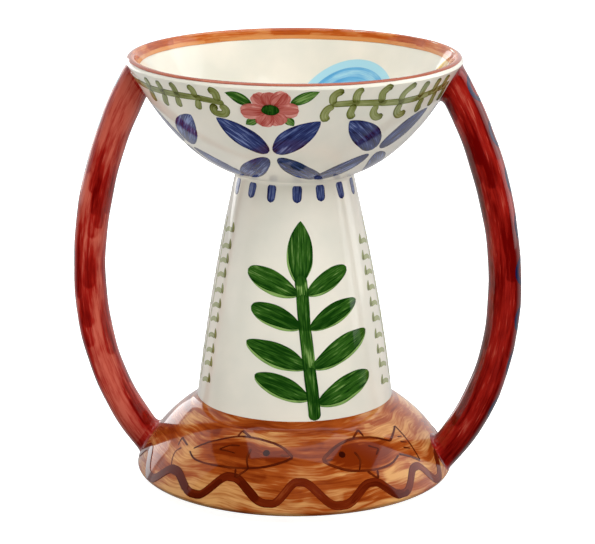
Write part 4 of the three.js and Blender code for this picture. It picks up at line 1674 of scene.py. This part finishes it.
class FOOTEDBOWL_OT_stage(Operator):
    """Sets the floor, the soft lights and the camera"""

    bl_idname = "footed_bowl.stage"
    bl_label = "Stage"

    def execute(self, context):
        stage = context.scene.footed_bowl_stage
        self.floor(stage)
        self.backdrop()
        self.surroundings(context.scene)
        self.light("left_softbox", (-1.6, 0.1, 0.7), (0, 0, 0.15), (1.2, 1.5), 4)
        self.light("low_left_softbox", (-1.5, 1.5, 0.35), (0, 0, 0.1), (1.4, 0.7), 7)
        self.light("right_softbox", (1.6, 0.5, 0.7), (0, 0, 0.15), (1.2, 1.5), 7)
        self.light("top_softbox", (0, 0.2, 1.9), (0, 0, 0), (1.8, 1.8), 16)
        self.light("front_fill", (0.6, -1.4, 1.9), (0, 0, 0.15), (1.2, 1.2), 34, mirrored=False)
        self.light("low_front_fill", (0.75, -1.7, 0.3), (0, 0, 0.2), (1.6, 0.5), 12, mirrored=False)
        self.light("left_card", (-0.36, -0.32, 0.004), (-0.36, -0.32, 1), (0.5, 0.5), 1.8, mirrored=False)
        self.light("right_card", (0.4, -0.35, 0.004), (0.4, -0.35, 1), (0.5, 0.5), 1.1, mirrored=False)
        self.camera(context.scene, stage)
        context.scene.view_settings.view_transform = "Standard"
        return {"FINISHED"}

    def floor(self, stage):
        half = 5.0  # in metres, as everything on the stage
        low = -0.0003  # just under the foot, so that the two don't share a surface
        mesh = bpy.data.meshes.new("pale_floor")
        corners = [(-half, -half, low), (half, -half, low), (half, half, low), (-half, half, low)]
        mesh.from_pydata(corners, [], [(0, 1, 2, 3)])

        def build(tree):
            glow = {"Emission Color": (1, 1, 1, 1), "Emission Strength": 0.85}
            return {"Base Color": (*stage.floor, 1.0), "Roughness": 0.6, **glow}, {}

        mesh.materials.append(make_material("pale_floor", build))
        floor = bpy.data.objects.new("pale_floor", mesh)
        bpy.context.scene.collection.objects.link(floor)
        floor.visible_glossy = floor.visible_diffuse = False

    def backdrop(self):
        """A round white wall that only the camera sees."""
        radius, low, high, count = 4.9, -1.0, 4.0, 48
        turn = np.linspace(0, 2 * math.pi, count, endpoint=False)
        points = []
        for height in (low, high):
            points += [(radius * math.cos(angle), radius * math.sin(angle), height) for angle in turn]
        faces = [(i, (i + 1) % count, count + (i + 1) % count, count + i) for i in range(count)]
        mesh = bpy.data.meshes.new("white_backdrop")
        mesh.from_pydata(points, [], faces)
        white = {"Emission Color": (1, 1, 1, 1), "Emission Strength": 1.0}
        mesh.materials.append(make_material("white_backdrop", lambda tree: (white, {})))
        wall = bpy.data.objects.new("white_backdrop", mesh)
        bpy.context.scene.collection.objects.link(wall)
        wall.visible_glossy = wall.visible_diffuse = wall.visible_shadow = False

    def surroundings(self, scene):
        """A white studio, darker on the camera's side and below."""
        scene.world = bpy.data.worlds.new("white_studio")
        scene.world.use_nodes = True
        tree = scene.world.node_tree
        tree.nodes.clear()
        way = add_node(tree, "SeparateXYZ", links={0: add_node(tree, "TexCoord").outputs["Generated"]})
        strength = add_node(
            tree, "MapRange", {"From Min": 0.0, "From Max": 0.5, "To Min": 0.02, "To Max": 1.0},
            {"Value": way.outputs["Y"]}, interpolation_type="SMOOTHSTEP",
        )
        below = add_node(
            tree, "MapRange", {"From Min": -0.25, "From Max": 0.0, "To Min": 0.6, "To Max": 1.0},
            {"Value": way.outputs["Z"]},
        )
        factors = {0: strength.outputs["Result"], 1: below.outputs["Result"]}
        both = add_node(tree, "Math", links=factors, operation="MULTIPLY")
        white = add_node(tree, "Background", {"Color": (1, 1, 1, 1)}, {"Strength": both.outputs[0]})
        add_node(tree, "OutputWorld", links={"Surface": white.outputs["Background"]})

    def light(self, name, place, target, size, power, mirrored=True):
        """An area lamp, in metres and watts; mirrored says whether the glaze reflects it."""
        lamp = bpy.data.lights.new(name, "AREA")
        lamp.shape = "RECTANGLE"
        lamp.size, lamp.size_y = size
        lamp.energy = power
        light = bpy.data.objects.new(name, lamp)
        light.location = place
        aim = Vector(target) - Vector(place)
        light.rotation_euler = aim.to_track_quat("-Z", "Y").to_euler()
        light.visible_glossy = mirrored
        light.visible_camera = False
        bpy.context.scene.collection.objects.link(light)

    def camera(self, scene, stage):
        lens = bpy.data.cameras.new("camera")
        lens.sensor_width = 36
        lens.lens = stage.lens
        lens.clip_end = 50
        lens.dof.use_dof = False
        camera = bpy.data.objects.new("camera", lens)
        azimuth, away = stage.azimuth, stage.distance
        camera.location = (away * math.sin(azimuth), -away * math.cos(azimuth), stage.height)
        camera.rotation_euler = (math.pi / 2 - stage.tilt, 0, azimuth - stage.pan)
        scene.collection.objects.link(camera)
        scene.camera = camera


# ---------------------------------------------------------------- panel


OPERATORS = [
    FOOTEDBOWL_OT_bowl,
    FOOTEDBOWL_OT_stem,
    FOOTEDBOWL_OT_foot,
    FOOTEDBOWL_OT_luted_rings,
    FOOTEDBOWL_OT_handles,
    FOOTEDBOWL_OT_sprig,
    FOOTEDBOWL_OT_side_vines,
    FOOTEDBOWL_OT_neck_dashes,
    FOOTEDBOWL_OT_blue_flowers,
    FOOTEDBOWL_OT_coral_flowers,
    FOOTEDBOWL_OT_bowl_vines,
    FOOTEDBOWL_OT_inside_paint,
    FOOTEDBOWL_OT_foot_paint,
    FOOTEDBOWL_OT_handle_rings,
    FOOTEDBOWL_OT_stage,
]


class FOOTEDBOWL_PT_panel(Panel):
    """Lists the bowl's pieces and their settings"""

    bl_idname = "FOOTEDBOWL_PT_panel"
    bl_label = "Footed Bowl"
    bl_space_type = "VIEW_3D"
    bl_region_type = "UI"
    bl_category = "Footed Bowl"

    def draw(self, context):
        scene = context.scene
        for operator in OPERATORS:
            self.layout.operator(operator.bl_idname)
        for title, settings in (
            ("Sizes", scene.footed_bowl_shape),
            ("Colours", scene.footed_bowl_colours),
            ("Stage", scene.footed_bowl_stage),
        ):
            box = self.layout.box()
            box.label(text=title)
            for key in settings.__annotations__:
                box.prop(settings, key)


GROUPS = {
    "footed_bowl_shape": FootedBowlShape,
    "footed_bowl_colours": FootedBowlColours,
    "footed_bowl_stage": FootedBowlStage,
}


def register():
    for kind in [*GROUPS.values(), *OPERATORS, FOOTEDBOWL_PT_panel]:
        bpy.utils.register_class(kind)
    for key, kind in GROUPS.items():
        setattr(bpy.types.Scene, key, PointerProperty(type=kind))


def unregister():
    for key in GROUPS:
        delattr(bpy.types.Scene, key)
    for kind in reversed([*GROUPS.values(), *OPERATORS, FOOTEDBOWL_PT_panel]):
        bpy.utils.unregister_class(kind)


def main():
    register()
    for operator in OPERATORS:
        group, name = operator.bl_idname.split(".")
        getattr(getattr(bpy.ops, group), name)()


if __name__ == "__main__":
    main()
